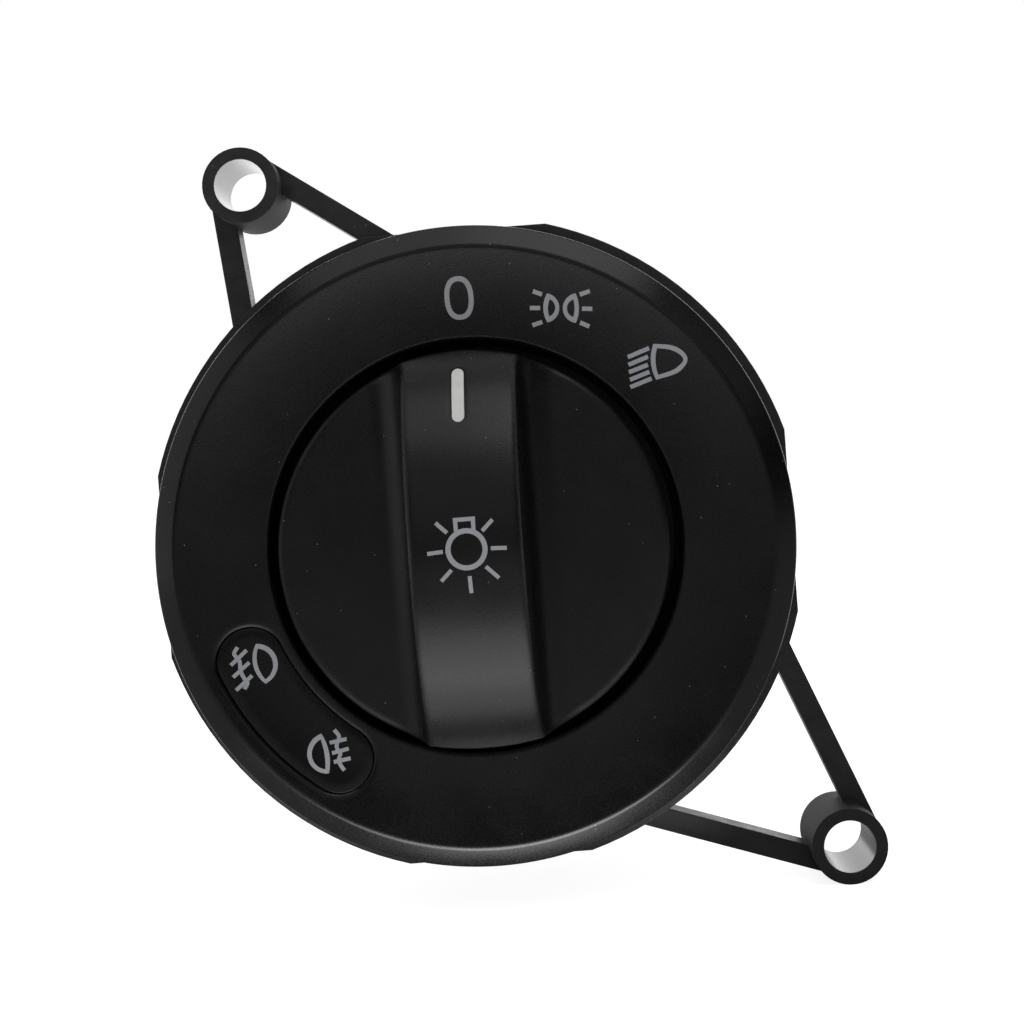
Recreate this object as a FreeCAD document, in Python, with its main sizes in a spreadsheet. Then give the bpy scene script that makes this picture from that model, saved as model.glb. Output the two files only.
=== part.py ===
import FreeCAD, Part
import math
import os
import re

import Sketcher

# Rotary headlight switch: turn for off, parking lamps and low beam, pull for the fog lamps.
# The dial axis is Y, the face looks towards -Y and +Z is up. The origin is on the dial axis,
# in the plane where the back of the trim panel rests on the flange of the housing.
# Sizes ending in height lie in front of that plane, and those ending in depth lie behind it.

os.makedirs("parts", exist_ok=True)
doc = FreeCAD.newDocument("headlight_switch")
sheet = doc.addObject("Spreadsheet::Sheet", "Sizes")

# The dimensions, in millimetres and degrees, grouped by the piece that they shape. Numbers are
# free to change, and the formulas follow from them.
# Clock angles run clockwise from straight up, as seen from the front.
SIZES = [
    ("Whole switch",),
    ("fit_gap", 0.15, "loose fit between moulded pieces that don't move"),
    ("part_gap", 0.3, "space between pieces that must not touch"),
    ("join_depth", 0.2, "how far the features of one moulding run into each other"),
    ("cut_margin", 1.0, "how far a cutting form runs past the surface"),
    ("strip_thickness", 0.3, "strip metal of the contacts and springs"),
    ("Bezel with the printed dial",),
    ("opening_radius", 24.0, "round opening for the knob, which the other rings follow"),
    ("dial_width", 13.5, "from that opening to the outside of the skirt"),
    ("bezel_radius", "opening_radius + dial_width",
     "outer skirt, which the trim panel's round cut-out fits over"),
    ("lip_height", 4.3, "front end of the outer skirt"),
    ("lip_rounding", 0.5, "edge of the outer skirt"),
    ("bevel_width", 2.58, "sloping band inside the lip, measured across the face"),
    ("bevel_rise", 1.5, "how far the band climbs to the ridge"),
    ("ridge_rounding", 1.0, "where the band turns into the dial"),
    ("dial_drop", 1.3, "how far the dial sinks from the ridge to the knob"),
    ("dial_wall", 1.8, "thickness of the dial"),
    ("skirt_wall", 2.0, "thickness of the outer skirt"),
    ("opening_rounding", 0.6, "edge of that opening"),
    ("collar_wall", 1.4, "tube round the opening, down to the flange"),
    ("hook_width", 8.0, "snap hooks at the four flats"),
    ("hook_thickness", 1.4, "snap hooks, measured across the face"),
    ("hook_catch", 1.1, "barb of a snap hook"),
    ("hook_inset", 0.6, "from the skirt's outside to the hook's outside"),
    ("Fog lamp window",),
    ("window_margin", 1.56, "from the window to the edges of the dial"),
    ("window_offset", 0.06, "window's middle inside the dial's middle"),
    ("window_radius", "opening_radius + (dial_width - bevel_width) / 2 - window_offset",
     "middle of the curved window"),
    ("window_half_width", "(dial_width - bevel_width) / 2 - window_margin",
     "half of its width, and the radius of its ends"),
    ("window_start_angle", 216.7, "clock angle of one end's centre"),
    ("window_end_angle", 247.3, "clock angle of the other end's centre"),
    ("window_gap", 0.1, "gap round the window"),
    ("window_sink", 0.25, "how far it lies below the dial"),
    ("window_thickness", 2.6, "from the ridge plane backwards"),
    ("window_rounding", 0.55, "edge of the hole in the dial"),
    ("front_fog_angle", 245.9, "clock angle of the front fog symbol"),
    ("rear_fog_angle", 219.9, "clock angle of the rear fog symbol"),
    ("Light guide under the dial",),
    ("guide_thickness", 2.4, ""),
    ("guide_start_angle", -15.0, "clock angle"),
    ("guide_end_angle", 65.0, "clock angle"),
    ("guide_leg_radius", "lamp_hole_radius - part_gap", "legs that reach down to the lamps"),
    ("guide_gap", 0.6, "inside and outside the arc"),
    ("Housing",),
    ("flange_reach", 1.7, "round flange outside the bezel"),
    ("flange_radius", "bezel_radius + flange_reach", ""),
    ("flat_reach", 0.15, "its four flats outside the bezel"),
    ("flange_flat", "bezel_radius + flat_reach", "measured from the axis"),
    ("flange_thickness", 3.0, ""),
    ("flange_root", 2.0, "how far the round body runs out under the flange"),
    ("well_depth", 5.0, "floor under the knob"),
    ("well_wall", 1.4, ""),
    ("well_floor", 1.6, ""),
    ("drum_space", 7.0, "from the knob's opening to the outside of the round body"),
    ("drum_radius", "opening_radius + drum_space", "round body behind the flange"),
    ("drum_wall", 1.8, ""),
    ("drum_depth", 28.0, "back edge of the round body"),
    ("bearing_wall", 1.9, "tube that the rotor turns in"),
    ("bearing_depth", "contact_board_depth - contact_space - rotor_flange_thickness - rotor_flange_gap",
     "back end of that tube"),
    ("lamp_space", "drum_radius - drum_wall - opening_radius - well_wall", "between the two walls"),
    ("lamp_radius", "opening_radius + well_wall + lamp_space / 2",
     "circle of the lamps and of their holes in the flange"),
    ("lamp_hole_margin", 0.4, "between those holes and the walls"),
    ("lamp_hole_radius", "lamp_space / 2 - lamp_hole_margin", ""),
    ("post_radius", 1.6, "posts that carry the contact board"),
    ("post_offset", 3.3, "from the rotor's rim to the middle of the posts"),
    ("post_circle", "rotor_flange_radius + post_offset", ""),
    ("stop_width", 2.4, "rib that stops the rotor"),
    ("rib_gap", 0.05, "between the rib and the bottom of its slot"),
    ("rib_inset", 0.1, "outer end of that rib inside the rotor's rim"),
    ("screw_offset", 2.0, "cover screws outside the round body"),
    ("screw_circle", "drum_radius + screw_offset", ""),
    ("screw_lug_radius", 2.8, ""),
    ("screw_pilot_radius", 0.95, ""),
    ("screw_pilot_length", 10.0, ""),
    ("Ears of the housing",),
    ("boss_radius", 4.5, ""),
    ("boss_bore", 3.1, "screw hole"),
    ("boss_height", 1.9, "front end of the bosses"),
    ("boss_length", 8.5, ""),
    ("arm_setback", 3.4, "from the front of a boss to the front of its arms"),
    ("arm_width", 2.65, ""),
    ("arm_depth", 2.8, ""),
    ("arm_overlap", 8.9, "how far an arm runs under the flange"),
    ("upper_ear_reach", 11.806, "from the flange to the middle of the upper boss"),
    ("upper_ear_angle", -29.117, "its clock angle"),
    ("upper_ear_x", "(flange_radius + upper_ear_reach) * sin(upper_ear_angle)", ""),
    ("upper_ear_z", "(flange_radius + upper_ear_reach) * cos(upper_ear_angle)", ""),
    ("upper_ear_heading", 125.1, "clock angle of its upper arm, towards the dial"),
    ("lower_ear_reach", 17.69, "from the flange to the middle of the lower boss"),
    ("lower_ear_angle", 133.276, "its clock angle"),
    ("lower_ear_x", "(flange_radius + lower_ear_reach) * sin(lower_ear_angle)", ""),
    ("lower_ear_z", "(flange_radius + lower_ear_reach) * cos(lower_ear_angle)", ""),
    ("lower_ear_heading", 289.0, "clock angle of its lower arm, towards the dial"),
    ("ear_spread", 49.1, "angle between the two arms of an ear"),
    ("Rear cover and connector",),
    ("cover_thickness", 1.8, ""),
    ("spigot_length", 2.0, "rim that centres the cover in the drum"),
    ("spigot_wall", 1.6, ""),
    ("socket_width", 27.0, "inside of the connector shroud"),
    ("socket_height", 12.0, "inside of the connector shroud"),
    ("socket_wall", 1.5, ""),
    ("socket_length", 12.0, ""),
    ("socket_drop", 14.0, "centre of the socket below the dial axis"),
    ("latch_width", 6.0, "catch for the plug's latch"),
    ("latch_rise", 1.4, ""),
    ("latch_length", 2.5, ""),
    ("latch_setback", 5.0, "from the mouth to the catch's front"),
    ("key_width", 1.6, "ribs that let the plug in one way round only"),
    ("key_rise", 0.8, ""),
    ("blade_pitch", 4.8, "contact blades in a row"),
    ("blade_row_gap", 5.6, "between the two rows"),
    ("blade_width", 1.6, ""),
    ("blade_thickness", 0.7, ""),
    ("blade_recess", 3.0, "blade tips behind the socket's mouth"),
    ("blade_play", 0.1, "round a blade in the cover"),
    ("screw_hole_radius", 1.5, "holes in the cover"),
    ("screw_radius", 0.95, ""),
    ("screw_length", 9.0, "below the head"),
    ("screw_head_radius", 2.4, ""),
    ("screw_head_height", 1.6, ""),
    ("Circuit boards",),
    ("board_thickness", 1.6, ""),
    ("board_reach", 3.2, "of the ring-shaped lamp board inside the knob's opening"),
    ("lamp_board_hole", "opening_radius - board_reach", "inner radius of that board"),
    ("board_gap", 0.3, "between the lamp board and the drum"),
    ("clamp_length", 2.4, "from the contact board's back to the end of the round body"),
    ("contact_board_depth", "drum_depth - clamp_length - board_thickness",
     "front face of the contact board"),
    ("contact_space", 2.2, "between the rotor and the contact board"),
    ("board_margin", 2.2, "contact board outside the row of pins"),
    ("contact_board_radius", "pin_row + board_margin", ""),
    ("lamp_margin", 0.7, "between a lamp and the walls"),
    ("lamp_size", "lamp_space - 2 * lamp_margin", "side of a square lamp"),
    ("lamp_thickness", 1.2, ""),
    ("pin_side", 0.64, "square pins between the boards"),
    ("pin_pitch", 2.0, ""),
    ("pin_inset", 1.0, "row of pins inside the lamp board's ring"),
    ("pin_row", "lamp_board_hole + pin_inset", "height of the row above the axis"),
    ("resistor_length", 3.2, ""),
    ("resistor_width", 1.6, ""),
    ("resistor_thickness", 0.6, ""),
    ("resistor_pitch", 9.6, "across the board"),
    ("resistor_row", 5.4, "between the rows, and above the axis"),
    ("Rotor",),
    ("journal_wall", 2.4, "round the rotor's pockets"),
    ("journal_radius", "spring_pocket_radius + journal_wall", "part that turns in the tube"),
    ("journal_gap", 0.1, "running clearance in the bearing tube"),
    ("rotor_sink", 0.2, "rotor's front behind the floor's front"),
    ("rotor_front_depth", "well_depth + rotor_sink", ""),
    ("rotor_flange_reach", 5.5, "rotor's rim outside that part"),
    ("rotor_flange_radius", "journal_radius + rotor_flange_reach", ""),
    ("rotor_flange_gap", 0.3, "behind the bearing tube"),
    ("rotor_flange_thickness", 2.5, ""),
    ("stop_slot_radius", "journal_radius + journal_gap + bearing_wall / 2 - rib_gap",
     "bottom of the slot that meets the stop rib"),
    ("stop_clearance", 8.0, "degrees from the rib's middle to the slot's side"),
    ("turn_angle", 50.0, "from off to low beam"),
    ("click_angle", 25.0, "from one position to the next"),
    ("notch_depth", 0.9, "notches in the rotor's rim"),
    ("pocket_space", 1.3, "outside the contact leaves"),
    ("spring_pocket_radius", "ring_radius + leaf_gap + strip_thickness + pocket_space", ""),
    ("spring_pocket_length", 3.2, ""),
    ("ring_pocket_depth",
     "spindle_end_depth - spindle_tail - clip_thickness - ring_length - part_gap - 2 * pull_step",
     "floor of the rotor's back pocket"),
    ("wiper_inset", 0.9, "turning contact inside the rotor's rim"),
    ("wiper_radius", "rotor_flange_radius - wiper_inset", "outer edge of the turning contact"),
    ("wiper_ring_width", 3.4, ""),
    ("wiper_arm_width", 1.6, ""),
    ("wiper_arm_length", 5.0, ""),
    ("turn_spring_reach", 7.5, "half of the length of the turn detent spring"),
    ("turn_spring_width", 3.0, ""),
    ("turn_spring_offset", 1.1, "from the rotor's rim to the spring"),
    ("turn_spring_bend", 2.4, "half of the length of the spring's nose"),
    ("turn_spring_bow", 0.1, ""),
    ("holder_front", 0.8, "wall of the spring's holders towards the rotor"),
    ("holder_back", 1.1, "wall on the other side"),
    ("holder_end", 1.0, "half of the length of a holder"),
    ("holder_play", 0.05, "each side of the spring"),
    ("notch_angle", 6.0, "half of the angle that a notch takes up on the rim"),
    ("pull_spring_nose", 1.4, "from the rotor's front to the nose of the pull detent spring"),
    ("pull_spring_bend", 0.9, "half of the length of its nose"),
    ("pull_spring_hole", 0.45, "gap between the spring's plate and the spindle"),
    ("pull_spring_width", 3.2, ""),
    ("Spindle",),
    ("spindle_side", 6.5, "square rod"),
    ("spindle_gap", 0.1, "between the rod and the rotor, each side"),
    ("spindle_bore", 2.1, "hole for the light guide"),
    ("spindle_front_height", 8.0, ""),
    ("spindle_space", 1.3, "between the spindle and the contact board"),
    ("spindle_end_depth", "contact_board_depth - spindle_space", ""),
    ("spindle_tail", 0.4, "spindle behind the clip"),
    ("pull_step", 3.0, "from one pull position to the next"),
    ("pull_notch_depth", 0.5, ""),
    ("pull_notch_width", 1.8, ""),
    ("clip_groove_depth", 0.6, "cut into the spindle's corners"),
    ("clip_groove_radius", "spindle_side / sqrt(2) - clip_groove_depth", ""),
    ("clip_width", 1.6, ""),
    ("clip_radius", "clip_groove_radius + clip_width", ""),
    ("clip_thickness", 0.6, ""),
    ("ring_wall", 1.0, "contact ring on the spindle"),
    ("ring_radius", "ring_bore + ring_wall", ""),
    ("ring_gap", 0.1, "between the ring and the spindle's corners"),
    ("ring_bore", "spindle_side / sqrt(2) + ring_gap", ""),
    ("ring_length", 1.4, ""),
    ("leaf_gap", 0.3, "between the ring and the contact leaves"),
    ("leaf_width", 2.4, ""),
    ("leaf_foot", 3.0, ""),
    ("Knob",),
    ("knob_gap", 1.5, "between the knob and its opening"),
    ("knob_radius", "opening_radius - knob_gap", ""),
    ("knob_height", 7.7, "face of the disc beside the grip bar"),
    ("knob_wall", 1.6, ""),
    ("skirt_gap", 2.0, "between the knob's skirt and the floor"),
    ("knob_skirt_depth", "well_depth - skirt_gap", "back edge of the knob"),
    ("knob_rounding", 0.7, "edge of the knob"),
    ("crown_height", 21.6, "top of the arched grip bar"),
    ("crown_end_height", 9.58, "the bar's top at the edge of the knob"),
    ("bar_half_width", 6.05, "at the crown"),
    ("bar_draft", 2.9, "degrees that each side of the bar leans"),
    ("bar_foot_radius", 4.5, "hollow where the bar meets the disc"),
    ("hub_wall", 1.6, "outside the spindle's corners"),
    ("hub_radius", "spindle_side / sqrt(2) + hub_wall", ""),
    ("hub_drop", 4.6, "from the bar's top to the front end of the hub"),
    ("hub_height", "crown_height - hub_drop", ""),
    ("hub_gap", 1.4, "between the hub and the floor"),
    ("hub_depth", "well_depth - hub_gap", "back end of the hub"),
    ("pointer_width", 1.35, ""),
    ("pointer_length", 6.05, ""),
    ("pointer_inset", 5.25, "from the knob's rim to the pointer's middle"),
    ("pointer_offset", "knob_radius - pointer_inset", "middle of the pointer above the axis"),
    ("pointer_gap", 0.03, "round the pointer, and its sink below the bar's top"),
    ("guide_rod_gap", 0.1, ""),
    ("guide_rod_radius", "spindle_bore - guide_rod_gap", "light guide in the spindle"),
    ("guide_bar_width", 3.2, "light guide in the bar"),
    ("guide_bar_thickness", 2.0, ""),
]

SIZE_NAMES = set()
for row, entry in enumerate(SIZES, start=1):
    sheet.set(f"A{row}", entry[0])
    if len(entry) == 3:
        sheet.setAlias(f"B{row}", entry[0])
        sheet.set(f"C{row}", entry[2])
        SIZE_NAMES.add(entry[0])
for row, entry in enumerate(SIZES, start=1):
    if len(entry) == 3:
        follows = isinstance(entry[1], str)
        sheet.set(f"B{row}", f"={entry[1]}" if follows else str(entry[1]))
doc.recompute()


def cell(formula):
    """The formula with every named size turned into a reference to its cell."""
    def refer(match):
        word = match.group()
        return f"Sizes.{word}" if word in SIZE_NAMES else word
    return re.sub(r"[a-z]+(?:_[a-z]+)*", refer, formula)


def number(formula):
    """The formula's present value."""
    return float(sheet.evalExpression(cell(formula)))


def bind(thing, prop, formula):
    thing.setExpression(prop, cell(formula))


def across(radius, angle):
    """X of a point at a clock angle on a circle round the dial axis."""
    return f"({radius}) * sin({angle})"


def up(radius, angle):
    """Z of a point at a clock angle on a circle round the dial axis."""
    return f"({radius}) * cos({angle})"


# Sketched pieces

def new_body(label):
    body = doc.addObject("PartDesign::Body", label)
    body.Label = label
    return body


def new_sketch(body, plane, name, offset="0"):
    """A sketch on one of the body's own origin planes, moved along the plane's normal."""
    drawing = body.newObject("Sketcher::SketchObject", name)
    for feature in body.Origin.OriginFeatures:
        if feature.Role == plane:
            drawing.AttachmentSupport = [(feature, "")]
    drawing.MapMode = "FlatFace"
    bind(drawing, "AttachmentOffset.Base.z", offset)
    return drawing


def hold_point(drawing, geometry, end, corner):
    """Fixes a point of the sketch by the two formulas of its coordinates."""
    place = (number(corner[0]), number(corner[1]))
    for kind, formula, start in (("DistanceX", corner[0], place[0]), ("DistanceY", corner[1], place[1])):
        index = drawing.addConstraint(Sketcher.Constraint(kind, -1, 1, geometry, end, start))
        drawing.setExpression(f"Constraints[{index}]", cell(formula))


def outline(drawing, corners):
    """A closed outline of straight sides. A third value in a corner rounds it with that radius."""
    points = [FreeCAD.Vector(number(corner[0]), number(corner[1]), 0) for corner in corners]
    count = len(points)
    starts = list(points)
    ends = list(points)
    arcs = {}
    for i, corner in enumerate(corners):
        if len(corner) == 2:
            continue
        radius = number(corner[2])
        back = (points[i - 1] - points[i]).normalize()
        ahead = (points[(i + 1) % count] - points[i]).normalize()
        half = back.getAngle(ahead) / 2
        reach = radius / math.tan(half)
        ends[i] = points[i] + back * reach
        starts[i] = points[i] + ahead * reach
        centre = points[i] + (back + ahead).normalize() * (radius / math.sin(half))
        left_turn = back.cross(ahead).z < 0
        arcs[i] = (centre, radius, left_turn)
    lines = []
    for i in range(count):
        side = Part.LineSegment(starts[i], ends[(i + 1) % count])
        lines.append(drawing.addGeometry(side, False))
    for i, corner in enumerate(corners):
        before = lines[i - 1]
        after = lines[i]
        if i not in arcs:
            drawing.addConstraint(Sketcher.Constraint("Coincident", before, 2, after, 1))
            hold_point(drawing, after, 1, corner)
            continue
        centre, radius, left_turn = arcs[i]
        first, last = (ends[i], starts[i]) if left_turn else (starts[i], ends[i])
        start_angle = math.atan2(first.y - centre.y, first.x - centre.x)
        end_angle = math.atan2(last.y - centre.y, last.x - centre.x)
        circle = Part.Circle(centre, FreeCAD.Vector(0, 0, 1), radius)
        arc = drawing.addGeometry(Part.ArcOfCircle(circle, start_angle, end_angle), False)
        meets_before, meets_after = (1, 2) if left_turn else (2, 1)
        mark = drawing.addGeometry(Part.Point(points[i]), True)
        hold_point(drawing, mark, 1, corner)
        drawing.addConstraint(Sketcher.Constraint("PointOnObject", mark, 1, before))
        drawing.addConstraint(Sketcher.Constraint("PointOnObject", mark, 1, after))
        drawing.addConstraint(Sketcher.Constraint("Tangent", arc, meets_before, before, 2))
        drawing.addConstraint(Sketcher.Constraint("Tangent", arc, meets_after, after, 1))
        index = drawing.addConstraint(Sketcher.Constraint("Radius", arc, radius))
        drawing.setExpression(f"Constraints[{index}]", cell(corner[2]))


def round_outline(drawing, radius, x="0", y="0"):
    """A circle of the sketch."""
    centre = FreeCAD.Vector(number(x), number(y), 0)
    circle = Part.Circle(centre, FreeCAD.Vector(0, 0, 1), number(radius))
    index = drawing.addGeometry(circle, False)
    hold_point(drawing, index, 3, (x, y))
    size = drawing.addConstraint(Sketcher.Constraint("Radius", index, number(radius)))
    drawing.setExpression(f"Constraints[{size}]", cell(radius))


def spin(body, profile, kind="PartDesign::Revolution"):
    """Turns a profile, drawn as radius and depth, once round the dial axis."""
    feature = body.newObject(kind, f"{profile.Name}_turned")
    feature.Profile = profile
    feature.ReferenceAxis = (profile, ["V_Axis"])
    feature.Angle = 360
    profile.Visibility = False
    return feature


def extrude(body, profile, length, kind="PartDesign::Pad", backwards=False, both_ways=False):
    feature = body.newObject(kind, f"{profile.Name}_pulled")
    feature.Profile = profile
    feature.Type = "Length"
    bind(feature, "Length", length)
    feature.Reversed = backwards
    if both_ways:
        feature.SideType = "Symmetric"
    return feature


def turned_piece(label, *profiles):
    """A body made of profiles turned round the dial axis."""
    body = new_body(label)
    for index, corners in enumerate(profiles):
        drawing = new_sketch(body, "XY_Plane", f"{label}_section_{index}")
        outline(drawing, corners)
        spin(body, drawing)
    return body


def plate(label, corners, front, length):
    """A body pulled backwards from an outline drawn in the plane of the dial."""
    body = new_body(label)
    drawing = new_sketch(body, "XZ_Plane", f"{label}_outline", f"-({front})")
    outline(drawing, corners)
    extrude(body, drawing, length, backwards=True)
    return body


# Plain solids

def rod(label, radius, front, back, x="0", z="0"):
    """A cylinder along the dial's axis, between two depths."""
    solid = doc.addObject("Part::Cylinder", label)
    solid.Placement = FreeCAD.Placement(
        FreeCAD.Vector(0, 0, 0), FreeCAD.Rotation(FreeCAD.Vector(1, 0, 0), -90))
    bind(solid, "Radius", radius)
    bind(solid, "Height", f"({back}) - ({front})")
    bind(solid, "Placement.Base.x", x)
    bind(solid, "Placement.Base.y", front)
    bind(solid, "Placement.Base.z", z)
    return solid


def block(label, x, y, z):
    """A box between pairs of X, Y and Z."""
    solid = doc.addObject("Part::Box", label)
    bind(solid, "Length", f"({x[1]}) - ({x[0]})")
    bind(solid, "Width", f"({y[1]}) - ({y[0]})")
    bind(solid, "Height", f"({z[1]}) - ({z[0]})")
    bind(solid, "Placement.Base.x", x[0])
    bind(solid, "Placement.Base.y", y[0])
    bind(solid, "Placement.Base.z", z[0])
    return solid


def centred(middle, size):
    """A pair of limits round a middle."""
    return (f"({middle}) - ({size}) / 2", f"({middle}) + ({size}) / 2")


def join(label, pieces):
    solid = doc.addObject("Part::MultiFuse", label)
    solid.Shapes = pieces
    solid.Refine = True
    return solid


def group(label, pieces):
    """Like pieces that share one name and stay separate solids."""
    solid = doc.addObject("Part::Compound", label)
    solid.Links = pieces
    return solid


def cut(label, base, tools):
    tool = tools[0]
    if len(tools) > 1:
        tool = join(f"{label}_tools", tools)
    solid = doc.addObject("Part::Cut", label)
    solid.Base = base
    solid.Tool = tool
    solid.Refine = True
    return solid


def overlap(label, pieces):
    solid = doc.addObject("Part::MultiCommon", label)
    solid.Shapes = pieces
    solid.Refine = True
    return solid


def turn_about_axis(solid, angle):
    """Turns a finished piece clockwise round the dial axis, as seen from the front."""
    solid.Placement = FreeCAD.Placement(
        FreeCAD.Vector(0, 0, 0), FreeCAD.Rotation(FreeCAD.Vector(0, 1, 0), number(angle)))
    bind(solid, "Placement.Rotation.Angle", angle)


def ring_sector(label, inner, outer, front, back, start, end):
    """Part of a flat ring round the dial axis, between two clock angles."""
    pieces = []
    for name, radius in (("outer", outer), ("inner", inner)):
        slice_ = rod(f"{label}_{name}", radius, front, back)
        bind(slice_, "Angle", f"({end}) - ({start})")
        pieces.append(slice_)
    sector = cut(f"{label}_sector", pieces[0], [pieces[1]])
    turn_about_axis(sector, f"({start}) - 90")
    return sector


NEAR = 0.01


def edges_where(shape, wanted):
    """Names of the edges whose points all pass a test."""
    names = []
    for index, edge in enumerate(shape.Edges, start=1):
        points = edge.discretize(5)
        if all(wanted(point) for point in points):
            names.append(f"Edge{index}")
    return names


QUARTERS = ["45", "135", "225", "315"]

# Bezel: one moulding with lip, bevel, ridge, dished dial and collar, and four snap hooks behind.
RIDGE_HEIGHT = "lip_height + bevel_rise"
RIDGE_RADIUS = "bezel_radius - bevel_width"
DIAL_SLOPE = "dial_drop / (bezel_radius - bevel_width - opening_radius)"


def dial_y(radius):
    """Depth of the dial's surface at a radius."""
    return f"-({RIDGE_HEIGHT}) + (bezel_radius - bevel_width - ({radius})) * {DIAL_SLOPE}"


bezel_ring = turned_piece("bezel_ring", [
    ("bezel_radius", "0"),
    ("bezel_radius", "-lip_height", "lip_rounding"),
    (RIDGE_RADIUS, f"-({RIDGE_HEIGHT})", "ridge_rounding"),
    ("opening_radius", dial_y("opening_radius"), "opening_rounding"),
    ("opening_radius", "0"),
    ("opening_radius + collar_wall", "0"),
    ("opening_radius + collar_wall", f"{dial_y('opening_radius + collar_wall')} + dial_wall"),
    ("bezel_radius - skirt_wall", f"{dial_y('bezel_radius - skirt_wall')} + dial_wall"),
    ("bezel_radius - skirt_wall", "0"),
])


def kidney(label, grow, front, back):
    """The curved window's form: a piece of a ring with round ends."""
    half = f"window_half_width + ({grow})"
    band = ring_sector(f"{label}_band", f"window_radius - ({half})", f"window_radius + ({half})",
                       front, back, "window_start_angle", "window_end_angle")
    ends = []
    for angle in ("window_start_angle", "window_end_angle"):
        end = rod(f"{label}_{angle}", half, front, back,
                  across("window_radius", angle), up("window_radius", angle))
        ends.append(end)
    return join(label, [band] + ends)


window_hole = kidney("window_hole", "0", f"-({RIDGE_HEIGHT}) - cut_margin", "0")
hooks = []
HOOK_OUTER = "bezel_radius - hook_inset"
HOOK_INNER = f"{HOOK_OUTER} - hook_thickness"
for number_of_turns in range(4):
    hook = plate(f"hook_{number_of_turns}", [
        ("-hook_width / 2", HOOK_INNER),
        ("hook_width / 2", HOOK_INNER),
        ("hook_width / 2", HOOK_OUTER),
        ("-hook_width / 2", HOOK_OUTER),
    ], "-lip_height / 2", "lip_height / 2 + flange_thickness + fit_gap + hook_thickness")
    barb = new_sketch(hook, "YZ_Plane", f"barb_{number_of_turns}")
    BARB_FRONT = "flange_thickness + fit_gap"
    outline(barb, [
        (BARB_FRONT, HOOK_INNER),
        (BARB_FRONT, f"{HOOK_INNER} - hook_catch"),
        (f"{BARB_FRONT} + hook_thickness", HOOK_INNER),
    ])
    extrude(hook, barb, "hook_width", both_ways=True)
    turn_about_axis(hook, f"{90 * number_of_turns}")
    hooks.append(hook)
bezel_whole = join("bezel_whole", [bezel_ring] + hooks)
bezel_sharp = cut("bezel_sharp", bezel_whole, [window_hole])
doc.recompute()


def on_window_edge(point):
    """True on the edge where the curved hole meets the dial's surface."""
    distance = math.hypot(point.x, point.z)
    inside = number("window_radius - window_half_width") - NEAR < distance
    outside = distance < number("window_radius + window_half_width") + NEAR
    return inside and outside and abs(point.y - number(dial_y(str(distance)))) < NEAR


bezel = doc.addObject("Part::Fillet", "bezel")
bezel.Base = bezel_sharp
window_edges = edges_where(bezel_sharp.Shape, on_window_edge)
rounding_size = number("window_rounding")
bezel.Edges = [(int(name[4:]), rounding_size, rounding_size) for name in window_edges]

# Fog lamp window: a dark clear plug in the curved hole, its face parallel to the dial.
window_plug = kidney("window_plug", "-window_gap", f"-({RIDGE_HEIGHT})",
                     f"-({RIDGE_HEIGHT}) + window_thickness")
window_trim = turned_piece("window_trim", [
    ("opening_radius", f"-({RIDGE_HEIGHT}) - cut_margin"),
    ("bezel_radius", f"-({RIDGE_HEIGHT}) - cut_margin"),
    ("bezel_radius", f"{dial_y('bezel_radius')} + window_sink"),
    ("opening_radius", f"{dial_y('opening_radius')} + window_sink"),
])
fog_window = cut("fog_window", window_plug, [window_trim])

# Light guide: a clear arc on the flange, below the three printed symbols, with a leg to each lamp.
guide_plate = ring_sector("guide_plate", "opening_radius + collar_wall + guide_gap",
                          "bezel_radius - skirt_wall - guide_gap", "-guide_thickness", "0",
                          "guide_start_angle", "guide_end_angle")
LAMP_FRONT = "well_depth + well_floor - lamp_thickness"
DIAL_LAMPS = ["0", "click_angle", "2 * click_angle"]
FOG_LAMPS = ["front_fog_angle", "rear_fog_angle"]


def leg(label, angle, radius, front):
    return rod(label, radius, front, f"{LAMP_FRONT} - part_gap",
               across("lamp_radius", angle), up("lamp_radius", angle))


guide_legs = []
for index, angle in enumerate(DIAL_LAMPS):
    guide_legs.append(leg(f"guide_leg_{index}", angle, "guide_leg_radius", "-guide_thickness / 2"))
dial_light_guide = join("dial_light_guide", [guide_plate] + guide_legs)

fog_pipes = []
for index, angle in enumerate(FOG_LAMPS):
    fog_pipes.append(leg(f"fog_pipe_{index}", angle, "guide_leg_radius",
                         f"-({RIDGE_HEIGHT}) + window_thickness"))
fog_light_pipes = group("fog_light_pipes", fog_pipes)

# Housing: one moulding with flange, knob well, drum, bearing tube, posts, screw lugs and two ears.
BEARING_RADIUS = "journal_radius + journal_gap"
FLOOR_BACK = "well_depth + well_floor"
housing_core = turned_piece("housing_core", [
    ("opening_radius", "0"),
    ("drum_radius + flange_root", "0"),
    ("drum_radius + flange_root", "flange_thickness"),
    ("drum_radius", "flange_thickness"),
    ("drum_radius", "drum_depth"),
    ("drum_radius - drum_wall", "drum_depth"),
    ("drum_radius - drum_wall", "flange_thickness"),
    ("opening_radius + well_wall", "flange_thickness"),
    ("opening_radius + well_wall", FLOOR_BACK),
    (f"{BEARING_RADIUS} + bearing_wall", FLOOR_BACK),
    (f"{BEARING_RADIUS} + bearing_wall", "bearing_depth"),
    (BEARING_RADIUS, "bearing_depth"),
    (BEARING_RADIUS, "well_depth"),
    ("opening_radius", "well_depth"),
])
flange_disc = rod("flange_disc", "flange_radius", "0", "flange_thickness")
flange_square = block("flange_square", ("-flange_flat", "flange_flat"), ("0", "flange_thickness"),
                      ("-flange_flat", "flange_flat"))
flange_hole = rod("flange_hole", "drum_radius", "-cut_margin", "flange_thickness + cut_margin")
flange_outline = overlap("flange_outline", [flange_disc, flange_square])
flange = cut("flange", flange_outline, [flange_hole])
housing_pieces = [housing_core, flange]
housing_cuts = []

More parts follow.
